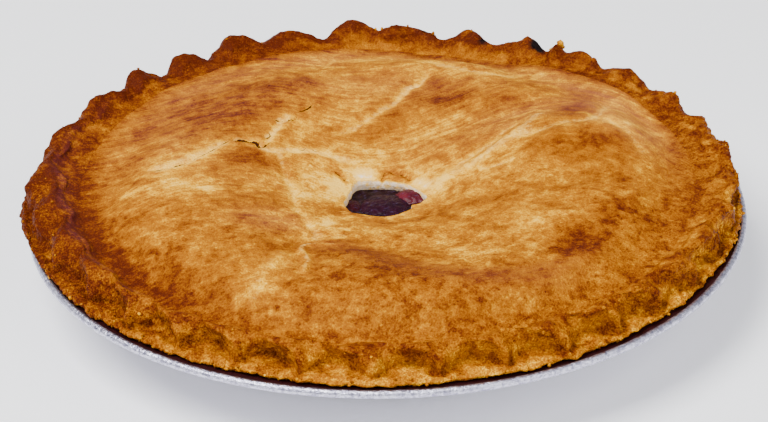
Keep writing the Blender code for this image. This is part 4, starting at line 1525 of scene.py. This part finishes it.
@dataclass
class Filling:
    """The set filling under the lid, with the cherries that show in the vent."""

    columns: int = 240
    level: float = 22.8

    def build(self) -> None:
        """Build the body of the filling and its cherries."""
        juice = CherryFinish(dark=(14, 4, 10), red=(40, 6, 12), wrinkle=3.0).material("cherry_juice")
        points, faces = self.body_arrays()
        finish_piece(make_piece("filling_body", points, faces, juice), "filling", "cherry_filling")
        dark = CherryFinish().material("dark_cherry")
        maroon = CherryFinish(dark=(26, 5, 10), red=(62, 13, 20), redness=0.35, wrinkle=2.4)
        maroon = maroon.material("maroon_cherry")
        red = CherryFinish(dark=(38, 6, 14), red=(112, 30, 44), redness=0.4, wrinkle=2.0, gloss=0.1)
        red = red.material("red_cherry")
        for name, place, size, finish in (
            ("cherry_middle", (-0.6, 0.6, 20.0), (10.6, 10.4, 4.8), dark),
            ("cherry_right", (9.6, 6.4, 20.6), (8.8, 6.2, 4.5), red),
            ("cherry_left", (-12.0, 1.6, 19.6), (5.6, 7.4, 4.4), maroon),
            ("cherry_front", (2.0, -13.0, 18.6), (6.0, 5.0, 5.0), maroon),
        ):
            points, faces = self.cherry_arrays(np.array(place), np.array(size), len(name))
            finish_piece(make_piece(name, points, faces, finish), "filling")

    def body_arrays(self) -> tuple[Array, Blocks]:
        """Turn the filling's section, with fine rings where it shows."""
        low, high = (np.array(corner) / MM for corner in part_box("cherry_filling"))
        rows = [(radius, self.level) for radius in np.linspace(0.4, 17.0, 48)]
        rows += [(24.0, 23.2), (42.0, 25.4), (56.0, 27.6), (72.0, min(31.0, high[2])), (86.0, 27.6),
                 (high[0] - 2.0, 23.4), (high[0], 18.8), (74.0, low[2]), (6.0, low[2])]
        radius, height = np.array(rows).T
        points = turned(radius[:, None], full_turn(self.columns), height[:, None])
        shown = (1.0 - smooth((radius - 16.0) / 3.0))[:, None]
        points[..., 2] += shown * 0.7 * NOISE.layered(points, 6.0, 3)
        return capped(points, (0.0, 0.0, points[0, :, 2].mean()), (0.0, 0.0, low[2]))

    def cherry_arrays(self, centre: Array, size: Array, seed: int) -> tuple[Array, Blocks]:
        """Work out a cooked cherry: an oval drawn in by fine wrinkles.

        Args:
            centre: its middle.
            size: its three half widths.
            seed: which noise wrinkles it.

        Returns:
            The points and the blocks of faces.
        """
        rows, columns = 70, 140
        lean = np.linspace(0.0, np.pi, rows + 2)[1:-1, None]
        unit = turned(np.sin(lean), full_turn(columns), np.cos(lean))
        wrinkles = NOISE.ridged(unit * 8.0 + 9.0 * seed, 3.2, 2)
        fine = NOISE.ridged(unit * 8.0 + 31.0 * seed, 1.3, 2)
        swell = 1.0 + 0.06 * NOISE.at(unit * 8.0 + seed, 6.0) - 0.05 * wrinkles - 0.035 * fine
        pole = np.array([0.0, 0.0, 0.93 * size[2]])
        return capped(centre + unit * size * swell[..., None], centre + pole, centre - pole)


# ---- The tin ----

@dataclass
class FoilTin:
    """The foil tin: a pressed base, a creased wall, a flange and a rolled bead."""

    form: TinForm = TinForm()
    columns: int = 960
    creases: int = 96
    hub: float = 6.0
    bead_steps: int = 30
    wall_rows: int = 9

    def build(self, finish: FoilFinish) -> None:
        """Build the tin and dress it."""
        points, faces, painted_shade = self.arrays()
        piece = make_piece("foil_tin", points, faces, finish.material("rolled_foil"), {"painted_shade": painted_shade})
        finish_piece(piece, "foil", "pie_tin")

    def section(self) -> Array:
        """Return the closed section: inside floor, wall, flange, bead, and back down outside."""
        form = self.form
        bead_r, bead_z = form.bead_centre
        start = math.pi - math.asin((form.flange - bead_z) / form.bead_radius)
        end = -math.pi - math.asin((form.flange - form.foil - bead_z) / form.bead_radius)
        turn = np.linspace(start, end, self.bead_steps)
        bead = np.array([bead_r, bead_z]) + form.bead_radius * np.stack([np.cos(turn), np.sin(turn)], -1)
        heights = np.linspace(form.heel_height + form.foil, form.flange, self.wall_rows)
        inner = np.stack([form.wall(heights, form.foil), heights], -1)
        outer = np.stack([form.wall(heights[::-1] - form.foil, 0.0), heights[::-1] - form.foil], -1)
        base = form.base_radius - form.heel
        top = [(self.hub, form.foil), (base * 0.6, form.foil), (base, form.foil)]
        shelf = [(form.wall_top + 3.0, form.flange)]
        under = [(form.wall_top + 3.5, form.flange - form.foil)]
        bottom = [(base, 0.0), (base * 0.6, 0.0), (self.hub, 0.0)]
        return np.concatenate([top, inner, shelf, bead, under, outer, bottom])

    def arrays(self) -> tuple[Array, Blocks, Array]:
        """Turn the section, with creases in the wall and small dents along the bead.

        Returns:
            The points, the blocks of faces and how dark each point is painted, as shade inside the bead.
        """
        section = self.section()
        turn = full_turn(self.columns)
        radius = section[:, :1] + 0 * turn
        height = section[:, 1:] + 0 * turn
        form = self.form
        on_wall = smooth((height - 2.0) / 6.0) * (1.0 - smooth((radius - form.wall_top + 4.0) / 6.0))
        flat = turned(100.0, turn, 0.0)
        wander = 0.5 * NOISE.at(flat, 12.0)
        radius = radius + on_wall * 0.16 * np.sin(self.creases * turn + wander)
        on_bead = smooth((radius - form.wall_top - 3.0) / 3.0)
        dents = NOISE.layered(flat, 3.2, 3) + 0.6 * NOISE.at(flat, 24.0)
        radius = radius - on_bead * 0.16 * np.abs(dents)
        height = height + on_bead * 0.14 * (NOISE.layered(flat + 9.0, 3.0, 3) - 0.5)
        # Shade is painted on every inner face of the tin up to the bead, under the crust.
        inside = 1.0 - smooth((section[:, 0] - form.outer + 2.0 * form.bead_radius - 0.3) / 1.0)
        inside[len(section) // 2:] = 0.0
        painted_shade = np.concatenate([(inside[:, None] + 0 * turn).ravel(), [1.0, 0.0]])
        points, faces = capped(turned(radius, turn, height), (0.0, 0.0, form.foil), (0.0, 0.0, 0.0))
        return points, faces, painted_shade


# ---- The studio ----

@dataclass
class Studio:
    """A pale floor, soft lights and the camera."""

    lens: float = 133.26
    sensor: float = 36.0
    distance: float = 910.4
    elevation: float = 28.22
    roll: float = 1.27
    centre: Triple = (0.0, 0.0, 21.5)
    aim: Triple = (-1.06, 0.0, 21.2)
    horizon: float = 0.50
    zenith: float = 0.58
    air: tuple[float, float, float, float] = (0.94, 0.96, 1.04, 1.0)
    lit: Triple = (0.0, 0.0, 0.02)
    floor_size: float = 8.0

    def build(self) -> None:
        """Set the floor, the lights and the camera."""
        self.floor()
        self.world()
        self.light("key", (-0.55, -0.35, 1.2), 0.8, 34.0)
        self.light("fill", (0.8, -0.7, 0.7), 1.0, 10.0)
        self.camera()

    def floor(self) -> None:
        """Lay a floor far wider than the view."""
        bpy.ops.mesh.primitive_plane_add(size=self.floor_size, location=(0.0, 0.0, 0.0))
        floor = bpy.context.object
        floor.name = "floor"
        floor.data.materials.append(FloorFinish().material("studio_floor"))

    def world(self) -> None:
        """Fill the room with light that is bright overhead and dimmer towards the horizon."""
        world = bpy.data.worlds.new("studio")
        world.use_nodes = True
        nodes, links = world.node_tree.nodes, world.node_tree.links
        place, split, ramp = (nodes.new(kind) for kind in (
            "ShaderNodeTexCoord", "ShaderNodeSeparateXYZ", "ShaderNodeMapRange"))
        links.new(place.outputs["Generated"], split.inputs[0])
        links.new(split.outputs["Z"], ramp.inputs[0])
        for index, value in ((1, 0.0), (2, 0.9), (3, self.horizon), (4, self.zenith)):
            ramp.inputs[index].default_value = value
        background = nodes["Background"]
        background.inputs["Color"].default_value = self.air
        links.new(ramp.outputs[0], background.inputs["Strength"])
        bpy.context.scene.world = world

    def light(self, name: str, place: Triple, size: float, power: float) -> None:
        """Hang a square softbox that faces the pie."""
        lamp = bpy.data.lights.new(name, "AREA")
        lamp.size = size
        lamp.energy = power
        holder = bpy.data.objects.new(name, lamp)
        holder.location = place
        facing = Vector(self.lit) - Vector(place)
        holder.rotation_euler = facing.to_track_quat("-Z", "Y").to_euler()
        bpy.context.scene.collection.objects.link(holder)

    def camera(self) -> None:
        """Stand the camera in front, looking down at the rim, with a slight roll."""
        data = bpy.data.cameras.new("camera")
        data.lens = self.lens
        data.sensor_width = self.sensor
        camera = bpy.data.objects.new("camera", data)
        rise = math.radians(self.elevation)
        centre = Vector(self.centre) * MM
        place = centre + Vector((0.0, -math.cos(rise), math.sin(rise))) * self.distance * MM
        look = (Vector(self.aim) * MM - place).to_track_quat("-Z", "Y").to_matrix().to_4x4()
        roll = Matrix.Rotation(-math.radians(self.roll), 4, "Z")
        camera.matrix_world = Matrix.Translation(place) @ look @ roll
        bpy.context.scene.collection.objects.link(camera)
        bpy.context.scene.camera = camera


def main() -> None:
    """Build the pie from the tin up, and then the studio round it."""
    logging.basicConfig(level=logging.INFO, format="%(message)s")
    FoilTin().build(FoilFinish())
    Filling().build()
    Crust().build(PastryFinish())
    Studio().build()


if __name__ == "__main__":
    main()
